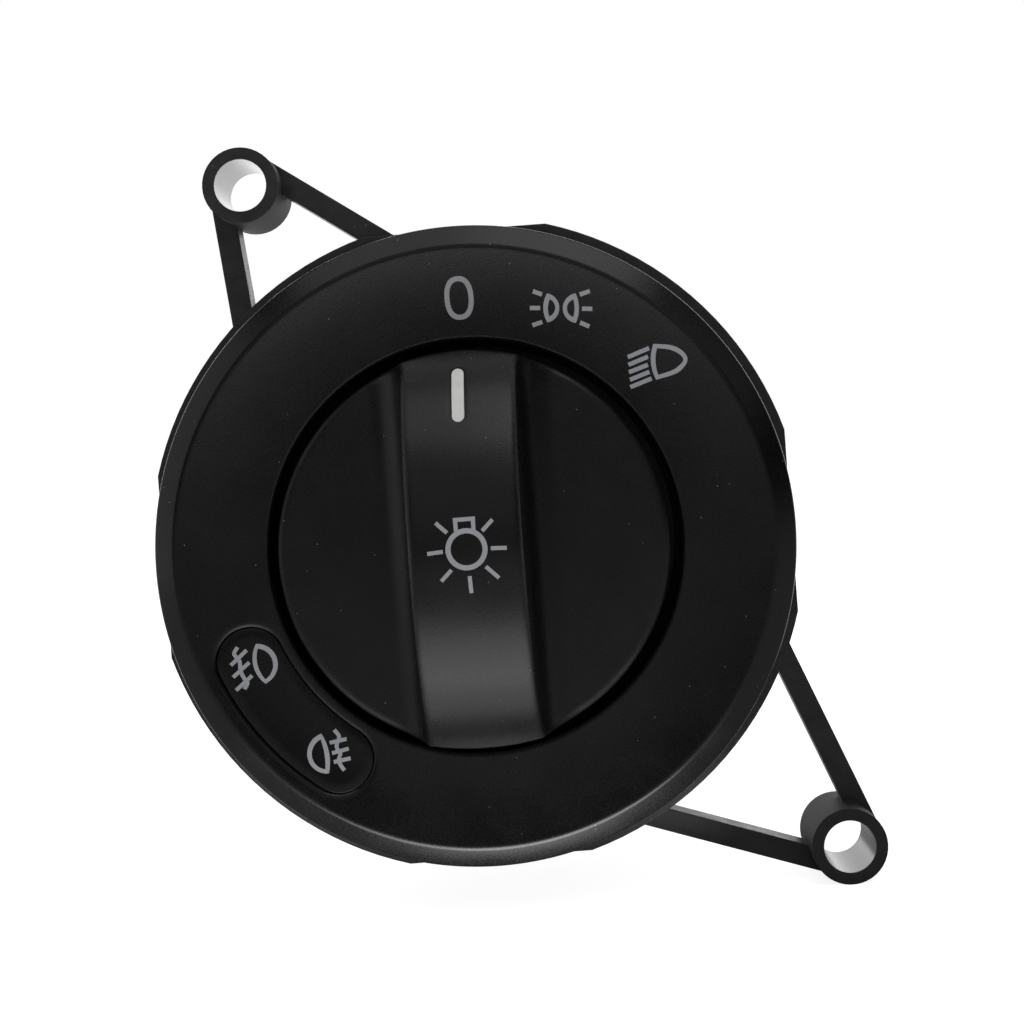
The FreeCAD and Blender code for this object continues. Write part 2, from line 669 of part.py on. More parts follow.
for index, angle in enumerate(QUARTERS):
    housing_pieces.append(rod(f"board_post_{index}", "post_radius", FLOOR_BACK, "contact_board_depth",
                              across("post_circle", angle), up("post_circle", angle)))
    lug_x = across("screw_circle", angle)
    lug_z = up("screw_circle", angle)
    lug = rod(f"screw_lug_{index}", "screw_lug_radius", "flange_thickness / 2", "drum_depth", lug_x, lug_z)
    lug_trim = cut(f"screw_lug_trim_{index}", lug, [
        rod(f"drum_space_{index}", "drum_radius - drum_wall / 2", "0", "drum_depth + cut_margin")])
    housing_pieces.append(lug_trim)
    housing_cuts.append(rod(f"screw_pilot_{index}", "screw_pilot_radius",
                            "drum_depth - screw_pilot_length", "drum_depth + cut_margin", lug_x, lug_z))

FLANGE_FRONT = "bearing_depth + rotor_flange_gap"
FLANGE_BACK = f"{FLANGE_FRONT} + rotor_flange_thickness"
stop_rib = block("stop_rib", ("-stop_width / 2", "stop_width / 2"),
                 (f"{FLOOR_BACK} - join_depth", f"{FLANGE_BACK} - part_gap"),
                 ("rib_inset - rotor_flange_radius", "-stop_slot_radius - rib_gap"))
housing_pieces.append(stop_rib)

# The two posts that hold the ends of the turn detent spring.
NOTCH_BOTTOM = "rotor_flange_radius - notch_depth"
SPRING_FRONT = f"{FLANGE_FRONT} - (turn_spring_width - rotor_flange_thickness) / 2"
SPRING_BACK = f"{SPRING_FRONT} + turn_spring_width"
SPRING_X = "rotor_flange_radius + turn_spring_offset"
HOLDER_NEAR = f"{SPRING_X} - holder_front"
HOLDER_FAR = f"{SPRING_X} + strip_thickness + holder_back"
for side, name in ((1, "upper"), (-1, "lower")):
    post = block(f"spring_post_{name}",
                 (HOLDER_NEAR, HOLDER_FAR), (f"{FLOOR_BACK} - join_depth", f"{SPRING_BACK} + part_gap"),
                 centred(f"{side} * turn_spring_reach", "2 * holder_end"))
    slot = block(f"spring_slot_{name}",
                 (f"{SPRING_X} - holder_play", f"{SPRING_X} + strip_thickness + holder_play"),
                 (f"{SPRING_FRONT} - holder_play", f"{SPRING_BACK} + cut_margin"),
                 centred(f"{side} * (turn_spring_reach - 2 * holder_end + holder_play)",
                         "4 * holder_end"))
    housing_pieces.append(cut(f"spring_holder_{name}", post, [slot]))

# Ears: a tube and two thin arms that touch its outside and run under the flange.
ARM_FRONT = "arm_setback - boss_height"


def ear(label, x, z, heading, reach):
    pieces = [rod(f"{label}_boss", "boss_radius", "-boss_height", "boss_length - boss_height", x, z)]
    arms = ((heading, "boss_radius - arm_width", "outer"),
            (f"{heading} + ear_spread", "-boss_radius", "inner"))
    for direction, inside, name in arms:
        arm = doc.addObject("Part::Box", f"{label}_{name}_arm")
        bind(arm, "Length", f"{reach} + arm_overlap")
        bind(arm, "Width", "arm_depth")
        bind(arm, "Height", "arm_width")
        arm.Placement.Rotation = FreeCAD.Rotation(FreeCAD.Vector(0, 1, 0), number(f"{direction} - 90"))
        bind(arm, "Placement.Rotation.Angle", f"{direction} - 90")
        bind(arm, "Placement.Base.x", f"{x} - ({inside}) * cos({direction})")
        bind(arm, "Placement.Base.y", ARM_FRONT)
        bind(arm, "Placement.Base.z", f"{z} + ({inside}) * sin({direction})")
        pieces.append(arm)
    bore = rod(f"{label}_bore", "boss_bore", "-boss_height - cut_margin",
               "boss_length - boss_height + cut_margin", x, z)
    return pieces, bore


EARS = [
    ("upper_ear", "upper_ear_x", "upper_ear_z", "upper_ear_heading", "upper_ear_reach"),
    ("lower_ear", "lower_ear_x", "lower_ear_z", "lower_ear_heading", "lower_ear_reach"),
]
for label, x, z, heading, reach in EARS:
    pieces, bore = ear(label, x, z, heading, reach)
    housing_pieces.extend(pieces)
    housing_cuts.append(bore)

for index, angle in enumerate(DIAL_LAMPS + FOG_LAMPS):
    housing_cuts.append(rod(f"lamp_hole_{index}", "lamp_hole_radius", "-cut_margin",
                            "flange_thickness + cut_margin",
                            across("lamp_radius", angle), up("lamp_radius", angle)))

NOTCH_LOW = f"{HOOK_INNER} - fit_gap"
for number_of_turns in range(4):
    notch = block(f"hook_notch_{number_of_turns}",
                  ("-hook_width / 2 - fit_gap", "hook_width / 2 + fit_gap"),
                  ("-cut_margin", "flange_thickness + cut_margin"),
                  (NOTCH_LOW, "flange_flat + cut_margin"))
    turned = group(f"hook_notch_turned_{number_of_turns}", [notch])
    turn_about_axis(turned, f"{90 * number_of_turns}")
    housing_cuts.append(turned)
housing_whole = join("housing_whole", housing_pieces)
housing = cut("switch_housing", housing_whole, housing_cuts)

# Rotor: turns in the bearing tube and carries the knob's square spindle.
BORE_HALF = "spindle_side / 2 + spindle_gap"
rotor = turned_piece("rotor", [
    ("spring_pocket_radius", "rotor_front_depth"),
    ("journal_radius", "rotor_front_depth"),
    ("journal_radius", FLANGE_FRONT),
    ("rotor_flange_radius", FLANGE_FRONT),
    ("rotor_flange_radius", FLANGE_BACK),
    ("spring_pocket_radius", FLANGE_BACK),
    ("spring_pocket_radius", "ring_pocket_depth"),
    ("spindle_side / 3", "ring_pocket_depth"),
    ("spindle_side / 3", "rotor_front_depth + spring_pocket_length"),
    ("spring_pocket_radius", "rotor_front_depth + spring_pocket_length"),
])
square = new_sketch(rotor, "XZ_Plane", "rotor_square", "-rotor_front_depth")
outline(square, [
    (f"-({BORE_HALF})", f"-({BORE_HALF})"),
    (BORE_HALF, f"-({BORE_HALF})"),
    (BORE_HALF, BORE_HALF),
    (f"-({BORE_HALF})", BORE_HALF),
])
extrude(rotor, square, "ring_pocket_depth - rotor_front_depth + cut_margin", "PartDesign::Pocket")
slot_first = "180 - turn_angle - stop_clearance"
slot_last = "180 + stop_clearance"
slot_middle = f"(({slot_first}) + ({slot_last})) / 2"
SLOT_START = f"-({FLANGE_FRONT}) + rotor_flange_gap / 2"
stop_slot = new_sketch(rotor, "XZ_Plane", "rotor_stop_slot", SLOT_START)
wide = "rotor_flange_radius * 1.3"
wider = "rotor_flange_radius * 1.6"
outline(stop_slot, [
    (across("stop_slot_radius", slot_first), up("stop_slot_radius", slot_first)),
    (across(wide, slot_first), up(wide, slot_first)),
    (across(wider, slot_middle), up(wider, slot_middle)),
    (across(wide, slot_last), up(wide, slot_last)),
    (across("stop_slot_radius", slot_last), up("stop_slot_radius", slot_last)),
    (across("stop_slot_radius", slot_middle), up("stop_slot_radius", slot_middle)),
])
extrude(rotor, stop_slot, "rotor_flange_thickness + cut_margin", "PartDesign::Pocket")
for index in range(3):
    angle = f"90 - {index} * click_angle"
    notch = new_sketch(rotor, "XZ_Plane", f"rotor_notch_{index}", SLOT_START)
    mouth = "rotor_flange_radius + part_gap"
    outline(notch, [
        (across(NOTCH_BOTTOM, angle), up(NOTCH_BOTTOM, angle)),
        (across(mouth, f"{angle} + notch_angle"), up(mouth, f"{angle} + notch_angle")),
        (across(mouth, f"{angle} - notch_angle"), up(mouth, f"{angle} - notch_angle")),
    ])
    extrude(rotor, notch, "rotor_flange_thickness + cut_margin", "PartDesign::Pocket")

# Turning contact: a brass ring on the rotor's back with three sprung fingers that reach the board.
wiper = turned_piece("rotor_contact", [
    ("wiper_radius - wiper_ring_width", FLANGE_BACK),
    ("wiper_radius", FLANGE_BACK),
    ("wiper_radius", f"{FLANGE_BACK} + strip_thickness"),
    ("wiper_radius - wiper_ring_width", f"{FLANGE_BACK} + strip_thickness"),
])
finger = new_sketch(wiper, "YZ_Plane", "wiper_finger", "wiper_radius - wiper_ring_width / 2")
outline(finger, [
    (FLANGE_BACK, "0"),
    (f"{FLANGE_BACK} + strip_thickness", "0"),
    ("contact_board_depth", "wiper_arm_length"),
    ("contact_board_depth - strip_thickness", "wiper_arm_length + 2 * strip_thickness"),
    ("contact_board_depth - 2 * strip_thickness", "wiper_arm_length"),
])
finger_pad = extrude(wiper, finger, "wiper_arm_width", both_ways=True)
finger_pattern = wiper.newObject("PartDesign::PolarPattern", "wiper_fingers")
finger_pattern.Originals = [finger_pad]
finger_pattern.Axis = (doc.getObject("rotor_contact_section_0"), ["V_Axis"])
finger_pattern.Angle = 360
finger_pattern.Occurrences = 3
wiper.Tip = finger_pattern

# Turn detent spring: a steel strip whose nose rests in a notch of the rotor's rim.
NOSE = f"{NOTCH_BOTTOM} + part_gap"
turn_spring = plate("turn_detent_spring", [
    (SPRING_X, "turn_spring_reach"),
    (f"{SPRING_X} - turn_spring_bow", "turn_spring_bend"),
    (NOSE, "0"),
    (f"{SPRING_X} - turn_spring_bow", "-turn_spring_bend"),
    (SPRING_X, "-turn_spring_reach"),
    (f"{SPRING_X} + strip_thickness", "-turn_spring_reach"),
    (f"{SPRING_X} + strip_thickness - turn_spring_bow", "-turn_spring_bend"),
    (f"{NOSE} + strip_thickness * 1.3", "0"),
    (f"{SPRING_X} + strip_thickness - turn_spring_bow", "turn_spring_bend"),
    (f"{SPRING_X} + strip_thickness", "turn_spring_reach"),
], SPRING_FRONT, "turn_spring_width")

# Pull detent spring: a stamped plate in the rotor's front pocket, with two bent fingers that
# rest in the notches of the spindle.
POCKET_FLOOR = "rotor_front_depth + spring_pocket_length"
SPRING_NOSE_DEPTH = "rotor_front_depth + pull_spring_nose"
NOTCH_FLOOR = "spindle_side / 2 - pull_notch_depth"
PLATE_HOLE = "spindle_side / 2 + pull_spring_hole"
LEG = f"{PLATE_HOLE} + part_gap"
pull_spring = new_body("pull_detent_spring")
pull_disc = new_sketch(pull_spring, "XZ_Plane", "pull_spring_disc", f"-({POCKET_FLOOR})")
round_outline(pull_disc, "spring_pocket_radius - fit_gap")
outline(pull_disc, [
    (f"-({PLATE_HOLE})", f"-({PLATE_HOLE})"),
    (PLATE_HOLE, f"-({PLATE_HOLE})"),
    (PLATE_HOLE, PLATE_HOLE),
    (f"-({PLATE_HOLE})", PLATE_HOLE),
])
extrude(pull_spring, pull_disc, "strip_thickness")
for side, name in ((1, "upper"), (-1, "lower")):
    leg_drawing = new_sketch(pull_spring, "YZ_Plane", f"pull_spring_{name}")
    outline(leg_drawing, [
        (POCKET_FLOOR, f"{side} * ({LEG} + pull_spring_bend)"),
        (POCKET_FLOOR, f"{side} * ({LEG} + pull_spring_bend + strip_thickness)"),
        (f"{SPRING_NOSE_DEPTH} + pull_spring_bend", f"{side} * ({LEG} + strip_thickness)"),
        (SPRING_NOSE_DEPTH, f"{side} * ({NOTCH_FLOOR} + part_gap + strip_thickness * 1.4)"),
        (f"{SPRING_NOSE_DEPTH} - pull_spring_bend", f"{side} * ({LEG} + strip_thickness)"),
        (f"{SPRING_NOSE_DEPTH} - pull_spring_bend", f"{side} * ({LEG})"),
        (SPRING_NOSE_DEPTH, f"{side} * ({NOTCH_FLOOR} + part_gap)"),
        (f"{SPRING_NOSE_DEPTH} + pull_spring_bend", f"{side} * ({LEG})"),
    ])
    extrude(pull_spring, leg_drawing, "pull_spring_width", both_ways=True)

# Spindle: a square rod through the rotor, hollow for the light guide, with three pull notches.
spindle = new_body("knob_spindle")
rod_section = new_sketch(spindle, "XZ_Plane", "spindle_section", "spindle_front_height")
outline(rod_section, [
    ("-spindle_side / 2", "-spindle_side / 2"),
    ("spindle_side / 2", "-spindle_side / 2"),
    ("spindle_side / 2", "spindle_side / 2"),
    ("-spindle_side / 2", "spindle_side / 2"),
])
round_outline(rod_section, "spindle_bore")
extrude(spindle, rod_section, "spindle_front_height + spindle_end_depth", backwards=True)
for side, name in ((1, "upper"), (-1, "lower")):
    for index in range(3):
        place = f"{SPRING_NOSE_DEPTH} + {index} * pull_step"
        notch = new_sketch(spindle, "YZ_Plane", f"pull_notch_{name}_{index}")
        outline(notch, [
            (f"{place} - pull_notch_width / 2", f"{side} * spindle_side / 2"),
            (place, f"{side} * ({NOTCH_FLOOR})"),
            (f"{place} + pull_notch_width / 2", f"{side} * spindle_side / 2"),
        ])
        extrude(spindle, notch, "spindle_side + 2 * cut_margin", "PartDesign::Pocket", both_ways=True)
RING_FRONT = "ring_pocket_depth + 2 * pull_step + part_gap"
CLIP_FRONT = f"{RING_FRONT} + ring_length"
groove_section = new_sketch(spindle, "XY_Plane", "clip_groove")
outline(groove_section, [
    ("clip_groove_radius", CLIP_FRONT),
    ("spindle_side", CLIP_FRONT),
    ("spindle_side", f"{CLIP_FRONT} + clip_thickness"),
    ("clip_groove_radius", f"{CLIP_FRONT} + clip_thickness"),
])
spin(spindle, groove_section, "PartDesign::Groove")

clip = turned_piece("spindle_clip", [
    ("clip_groove_radius", CLIP_FRONT),
    ("clip_radius", CLIP_FRONT),
    ("clip_radius", f"{CLIP_FRONT} + clip_thickness"),
    ("clip_groove_radius", f"{CLIP_FRONT} + clip_thickness"),
])
clip_gap = new_sketch(clip, "XZ_Plane", "clip_opening", f"-({CLIP_FRONT}) + cut_margin")
outline(clip_gap, [
    ("-clip_groove_radius / 2", "-clip_radius - cut_margin"),
    ("clip_groove_radius / 2", "-clip_radius - cut_margin"),
    ("clip_groove_radius / 2", "0"),
    ("-clip_groove_radius / 2", "0"),
])
extrude(clip, clip_gap, "clip_thickness + 2 * cut_margin", "PartDesign::Pocket")

contact_ring = turned_piece("fog_contact_ring", [
    ("ring_bore", RING_FRONT),
    ("ring_radius", RING_FRONT),
    ("ring_radius", CLIP_FRONT),
    ("ring_bore", CLIP_FRONT),
])

# Contact leaves: two long and two short brass strips on the contact board, beside the ring.
leaves = []
LEAF_NEAR = "ring_radius + leaf_gap"
for index, angle in enumerate(["0", "90", "180", "270"]):
    tip = f"{RING_FRONT} - {1 + index % 2} * pull_step"
    strip = block(f"leaf_strip_{index}", centred("0", "leaf_width"), (tip, "contact_board_depth"),
                  (LEAF_NEAR, f"{LEAF_NEAR} + strip_thickness"))
    foot = block(f"leaf_foot_{index}", centred("0", "leaf_width"),
                 ("contact_board_depth - strip_thickness", "contact_board_depth"),
                 (LEAF_NEAR, f"{LEAF_NEAR} + leaf_foot"))
    leaf = join(f"leaf_{index}", [strip, foot])
    turn_about_axis(leaf, angle)
    leaves.append(leaf)
fog_contact_leaves = group("fog_contact_leaves", leaves)

# Knob: a shell with disc, skirt, hub and arched grip bar, moulded as one.
ARC_RISE = "(crown_height - crown_end_height)"
ARC_RADIUS = f"(knob_radius * knob_radius + {ARC_RISE} * {ARC_RISE}) / (2 * {ARC_RISE})"
ARC_CENTRE = f"{ARC_RADIUS} - crown_height"
BAR_TOP = "crown_height + cut_margin"
FOOT_HALF = "bar_half_width + (crown_height - knob_height) * tan(bar_draft)"
TOP_HALF = "bar_half_width - cut_margin * tan(bar_draft)"
knob = new_body("knob_shell")
bar_section = new_sketch(knob, "XY_Plane", "bar_section")
outline(bar_section, [
    ("knob_radius + cut_margin", "knob_skirt_depth"),
    ("knob_radius + cut_margin", "-knob_height"),
    (FOOT_HALF, "-knob_height", "bar_foot_radius"),
    (TOP_HALF, f"-({BAR_TOP})"),
    (f"-({TOP_HALF})", f"-({BAR_TOP})"),
    (f"-({FOOT_HALF})", "-knob_height", "bar_foot_radius"),
    ("-knob_radius - cut_margin", "-knob_height"),
    ("-knob_radius - cut_margin", "knob_skirt_depth"),
])
extrude(knob, bar_section, "2 * (knob_radius + cut_margin)", both_ways=True)


def arch(body, name, radius, top):
    """The space in front of the grip bar's arched top, drawn as depth and Z, up to a height."""
    drawing = new_sketch(body, "YZ_Plane", name)
    far = "knob_radius + 2 * cut_margin"
    edge_y = "-crown_end_height"
    middle = FreeCAD.Vector(number(ARC_CENTRE), 0, 0)
    half = math.asin(number("knob_radius") / number(radius))
    circle = Part.Circle(middle, FreeCAD.Vector(0, 0, 1), number(radius))
    arc = drawing.addGeometry(Part.ArcOfCircle(circle, math.pi - half, math.pi + half), False)
    hold_point(drawing, arc, 1, (edge_y, "knob_radius"))
    hold_point(drawing, arc, 2, (edge_y, "-knob_radius"))
    index = drawing.addConstraint(Sketcher.Constraint("Radius", arc, number(radius)))
    drawing.setExpression(f"Constraints[{index}]", cell(radius))
    stops = [(edge_y, "-knob_radius"), (edge_y, f"-({far})"), (f"-({top})", f"-({far})"),
             (f"-({top})", far), (edge_y, far), (edge_y, "knob_radius")]
    previous = arc
    for first, second in zip(stops, stops[1:]):
        a = FreeCAD.Vector(number(first[0]), number(first[1]), 0)
        b = FreeCAD.Vector(number(second[0]), number(second[1]), 0)
        line = drawing.addGeometry(Part.LineSegment(a, b), False)
        drawing.addConstraint(Sketcher.Constraint("Coincident", previous, 2, line, 1))
        if second is not stops[-1]:
            hold_point(drawing, line, 2, second)
        previous = line
    drawing.addConstraint(Sketcher.Constraint("Coincident", previous, 2, arc, 1))
    return drawing


FAR_FRONT = "crown_height + 4 * cut_margin"
crown = arch(knob, "bar_crown", ARC_RADIUS, FAR_FRONT)
extrude(knob, crown, "4 * bar_half_width", "PartDesign::Pocket", both_ways=True)
rim = new_sketch(knob, "XY_Plane", "knob_rim")
outline(rim, [
    ("knob_radius", "knob_skirt_depth + cut_margin"),
    ("knob_radius", f"-({FAR_FRONT})"),
    ("2 * knob_radius", f"-({FAR_FRONT})"),
    ("2 * knob_radius", "knob_skirt_depth + cut_margin"),
])
spin(knob, rim, "PartDesign::Groove")
doc.recompute()


def on_rim(point):
    distance = math.hypot(point.x, point.z)
    return abs(distance - number("knob_radius")) < NEAR and point.y < number("knob_skirt_depth") - NEAR


def on_crown(point):
    distance = math.hypot(point.y - number(ARC_CENTRE), point.z)
    return abs(distance - number(ARC_RADIUS)) < NEAR


sharp_knob = knob.Tip
outer_edges = edges_where(sharp_knob.Shape, lambda point: on_rim(point) or on_crown(point))
rounding = knob.newObject("PartDesign::Fillet", "knob_outer_rounding")
rounding.Base = (sharp_knob, outer_edges)
bind(rounding, "Radius", "knob_rounding")
doc.recompute()

# The hollow inside the disc and the bar, round the hub.
CEILING = "-knob_height + knob_wall"
disc_hollow = new_sketch(knob, "XY_Plane", "disc_hollow")
outline(disc_hollow, [
    ("hub_radius", "knob_skirt_depth + cut_margin"),
    ("hub_radius", CEILING),
    ("knob_radius - knob_wall", CEILING),
    ("knob_radius - knob_wall", "knob_skirt_depth + cut_margin"),
])
spin(knob, disc_hollow, "PartDesign::Groove")
INNER_HALF = "bar_half_width - knob_wall"
bar_space = block("bar_space", (f"-({INNER_HALF})", INNER_HALF),
                  ("-crown_height", "knob_skirt_depth + cut_margin"),
                  ("-knob_radius + knob_wall", "knob_radius - knob_wall"))


def barrel(label, radius, half_length):
    """A cylinder along X round the centre of the bar's arch."""
    solid = doc.addObject("Part::Cylinder", label)
    solid.Placement = FreeCAD.Placement(
        FreeCAD.Vector(0, 0, 0), FreeCAD.Rotation(FreeCAD.Vector(0, 1, 0), 90))
    bind(solid, "Radius", radius)
    bind(solid, "Height", f"2 * ({half_length})")
    bind(solid, "Placement.Base.x", f"-({half_length})")
    bind(solid, "Placement.Base.y", ARC_CENTRE)
    return solid


arch_inside = barrel("arch_inside", f"{ARC_RADIUS} - knob_wall", "knob_radius")
HUB_BACK = "hub_depth + 2 * cut_margin"
hub_keep = rod("hub_keep", "hub_radius", "-hub_height", HUB_BACK)
bar_hollow = cut("bar_hollow", overlap("bar_hollow_whole", [bar_space, arch_inside]), [hub_keep])
hub_extra = rod("hub_extra", "hub_radius", "-knob_height", "hub_depth")
square_socket = block("square_socket", centred("0", "spindle_side"),
                      ("-spindle_front_height", HUB_BACK), centred("0", "spindle_side"))
rod_hole = rod("rod_hole", "spindle_bore", "-hub_height - cut_margin",
               "-spindle_front_height + cut_margin")


def pointer_slot(label, grow):
    """The pointer's outline, pulled through the top of the bar."""
    half = f"pointer_width / 2 + ({grow})"
    straight = "(pointer_length - pointer_width) / 2"
    y_limits = (f"-({BAR_TOP})", "-crown_end_height + knob_wall")
    pieces = [block(f"{label}_middle", (f"-({half})", half), y_limits,
                    (f"pointer_offset - {straight}", f"pointer_offset + {straight}"))]
    for sign in ("-", "+"):
        name = "low" if sign == "-" else "high"
        pieces.append(rod(f"{label}_{name}", half, y_limits[0], y_limits[1], "0",
                          f"pointer_offset {sign} {straight}"))
    return join(label, pieces)


knob_with_hub = join("knob_with_hub", [cut("knob_hollowed", knob, [bar_hollow]), hub_extra])
knob_cap = cut("knob_cap", knob_with_hub, [square_socket, rod_hole,
                                           pointer_slot("pointer_opening", "pointer_gap")])

# Pointer: a pale bar in the slot, flush with the arched top, standing on the light guide.
GUIDE_TOP = f"{ARC_RADIUS} - knob_wall - part_gap"
pointer_shell = cut("pointer_shell",
                    barrel("pointer_top", f"{ARC_RADIUS} - pointer_gap", "pointer_width"),
                    [barrel("pointer_base", GUIDE_TOP, "pointer_width * 2")])
knob_pointer = overlap("knob_pointer", [pointer_slot("pointer_form", "0"), pointer_shell])

# Light guide of the knob: a clear rod in the spindle and a curved arm to the pointer.
guide_span = block("guide_span", centred("0", "guide_bar_width"), ("-crown_height", ARC_CENTRE),
                   ("-guide_rod_radius", "pointer_offset + pointer_length / 2"))
guide_arch = cut("guide_arch", barrel("guide_arch_top", GUIDE_TOP, "guide_bar_width"),
                 [barrel("guide_arch_base", f"{GUIDE_TOP} - guide_bar_thickness", "guide_bar_width * 2")])
guide_arm = overlap("guide_arm", [guide_span, guide_arch])
guide_arm_clear = cut("guide_arm_clear", guide_arm,
                      [rod("guide_hub_space", "hub_radius", "-hub_height", "knob_skirt_depth")])
guide_rod = rod("guide_rod", "guide_rod_radius", "-hub_height - cut_margin",
                "spindle_end_depth - part_gap")
knob_light_guide = join("knob_light_guide", [guide_arm_clear, guide_rod])

# Lamp board: a ring against the back of the knob well, with its lamps in the holes' line.
BOARD_OUTER = "drum_radius - drum_wall - board_gap"
lamp_ring = turned_piece("lamp_ring", [
    ("lamp_board_hole", FLOOR_BACK),
    (BOARD_OUTER, FLOOR_BACK),
    (BOARD_OUTER, f"{FLOOR_BACK} + board_thickness"),
    ("lamp_board_hole", f"{FLOOR_BACK} + board_thickness"),
])
RING_DEPTHS = (f"{FLOOR_BACK} - cut_margin", f"{FLOOR_BACK} + board_thickness + cut_margin")
board_clearances = []
for index, angle in enumerate(QUARTERS):
    board_clearances.append(rod(f"board_post_space_{index}", "post_radius + fit_gap", *RING_DEPTHS,
                                across("post_circle", angle), up("post_circle", angle)))
for side, name in ((1, "upper"), (-1, "lower")):
    board_clearances.append(block(f"spring_post_space_{name}",
                                  (f"{HOLDER_NEAR} - fit_gap", f"{HOLDER_FAR} + fit_gap"), RING_DEPTHS,
                                  centred(f"{side} * turn_spring_reach", "2 * (holder_end + fit_gap)")))
lamp_board = cut("lamp_board", lamp_ring, board_clearances)


def lamp(label, x, z, back):
    return block(label, centred(x, "lamp_size"), (f"{back} - lamp_thickness", back),
                 centred(z, "lamp_size"))


dial_lamps = []
for index, angle in enumerate(DIAL_LAMPS):
    dial_lamps.append(lamp(f"dial_lamp_{index}", across("lamp_radius", angle),
                           up("lamp_radius", angle), FLOOR_BACK))
dial_lamps.append(lamp("knob_lamp", "0", "0", "contact_board_depth"))
illumination_leds = group("illumination_leds", dial_lamps)
fog_lamps = []
for index, angle in enumerate(FOG_LAMPS):
    fog_lamps.append(lamp(f"fog_lamp_{index}", across("lamp_radius", angle),
                          up("lamp_radius", angle), FLOOR_BACK))
fog_leds = group("fog_leds", fog_lamps)

# Contact board: a round board on the four posts.
contact_board = rod("contact_board", "contact_board_radius", "contact_board_depth",
                    "contact_board_depth + board_thickness")
BOARD_BACK = "contact_board_depth + board_thickness"
pins = []
for index in range(6):
    x = f"({index} - 2.5) * pin_pitch"
    pins.append(block(f"pin_{index}", centred(x, "pin_side"),
                      (f"{FLOOR_BACK} + board_thickness", "contact_board_depth"),
                      centred("pin_row", "pin_side")))
board_pins = group("board_pins", pins)
chips = []
for index in range(6):
    x = f"({index % 3} - 1) * resistor_pitch"
    z = f"{1 + index // 3} * resistor_row"
    chips.append(block(f"chip_{index}", centred(x, "resistor_length"),
                       (BOARD_BACK, f"{BOARD_BACK} + resistor_thickness"),
                       centred(z, "resistor_width")))
board_resistors = group("board_resistors", chips)

# Rear cover: a plate with a centring rim, clamp posts, the connector shroud and four screw holes.
COVER_BACK = "drum_depth + cover_thickness"
SPIGOT_OUTER = "drum_radius - drum_wall - fit_gap"
cover_plate = turned_piece("cover_plate", [
    ("0", "drum_depth"),
    (f"{SPIGOT_OUTER} - spigot_wall", "drum_depth"),
    (f"{SPIGOT_OUTER} - spigot_wall", "drum_depth - spigot_length"),
    (SPIGOT_OUTER, "drum_depth - spigot_length"),
    (SPIGOT_OUTER, "drum_depth"),
    ("drum_radius", "drum_depth"),
    ("drum_radius", COVER_BACK),
    ("0", COVER_BACK),
])
cover_pieces = [cover_plate]
cover_cuts = []
screw_pieces = []
for index, angle in enumerate(QUARTERS):
    lug_x = across("screw_circle", angle)
    lug_z = up("screw_circle", angle)
    cover_pieces.append(rod(f"cover_lug_{index}", "screw_lug_radius", "drum_depth", COVER_BACK,
                            lug_x, lug_z))
    cover_pieces.append(rod(f"clamp_post_{index}", "post_radius", BOARD_BACK, "drum_depth",
                            across("post_circle", angle), up("post_circle", angle)))
    cover_cuts.append(rod(f"cover_screw_hole_{index}", "screw_hole_radius", "drum_depth - cut_margin",
                          f"{COVER_BACK} + cut_margin", lug_x, lug_z))
    shank = rod(f"screw_shank_{index}", "screw_radius", f"{COVER_BACK} - screw_length", COVER_BACK,
                lug_x, lug_z)
    head = rod(f"screw_head_{index}", "screw_head_radius", COVER_BACK,
               f"{COVER_BACK} + screw_head_height", lug_x, lug_z)
    screw_pieces.append(join(f"screw_{index}", [shank, head]))
cover_screws = group("cover_screws", screw_pieces)

SOCKET_BACK = f"{COVER_BACK} + socket_length"
SHROUD_X = centred("0", "socket_width + 2 * socket_wall")
SHROUD_Z = centred("-socket_drop", "socket_height + 2 * socket_wall")
cover_pieces.append(block("shroud", SHROUD_X, (f"{COVER_BACK} - join_depth", SOCKET_BACK), SHROUD_Z))
SHROUD_TOP = "-socket_drop + socket_height / 2 + socket_wall"
latch = plate("latch", [
    ("-latch_width / 2", f"{SHROUD_TOP} - join_depth"),
    ("latch_width / 2", f"{SHROUD_TOP} - join_depth"),
    ("latch_width / 2", f"{SHROUD_TOP} + latch_rise"),
    ("-latch_width / 2", f"{SHROUD_TOP} + latch_rise"),
], f"{SOCKET_BACK} - latch_setback", "latch_length")
cover_pieces.append(latch)
socket_space = block("socket_space", centred("0", "socket_width"),
                     (COVER_BACK, f"{SOCKET_BACK} + cut_margin"), centred("-socket_drop", "socket_height"))
key_ribs = []
for sign in ("-", "+"):
    name = "left" if sign == "-" else "right"
    key_ribs.append(block(f"key_rib_{name}", centred(f"{sign} socket_width / 4", "key_width"),
                          (f"{COVER_BACK} - join_depth", f"{SOCKET_BACK} - cut_margin"),
                          ("-socket_drop + socket_height / 2 - key_rise",
                           "-socket_drop + socket_height / 2 + socket_wall / 2")))
blades = []
blade_slots = []
for row in range(2):
    for column in range(5):
        x = f"({column} - 2) * blade_pitch"
        z = f"-socket_drop + ({row} - 0.5) * blade_row_gap"
        blades.append(block(f"blade_{row}_{column}", centred(x, "blade_width"),
                            (BOARD_BACK, f"{SOCKET_BACK} - blade_recess"), centred(z, "blade_thickness")))
        blade_slots.append(block(f"blade_slot_{row}_{column}", centred(x, "blade_width + 2 * blade_play"),
                                 ("drum_depth - cut_margin", f"{COVER_BACK} + cut_margin"),
                                 centred(z, "blade_thickness + 2 * blade_play")))
terminal_blades = group("terminal_blades", blades)
cover_block = cut("cover_block", join("cover_solid", cover_pieces), [socket_space])
cover_keyed = join("cover_keyed", [cover_block] + key_ribs)
rear_cover = cut("rear_cover", cover_keyed, cover_cuts + blade_slots)

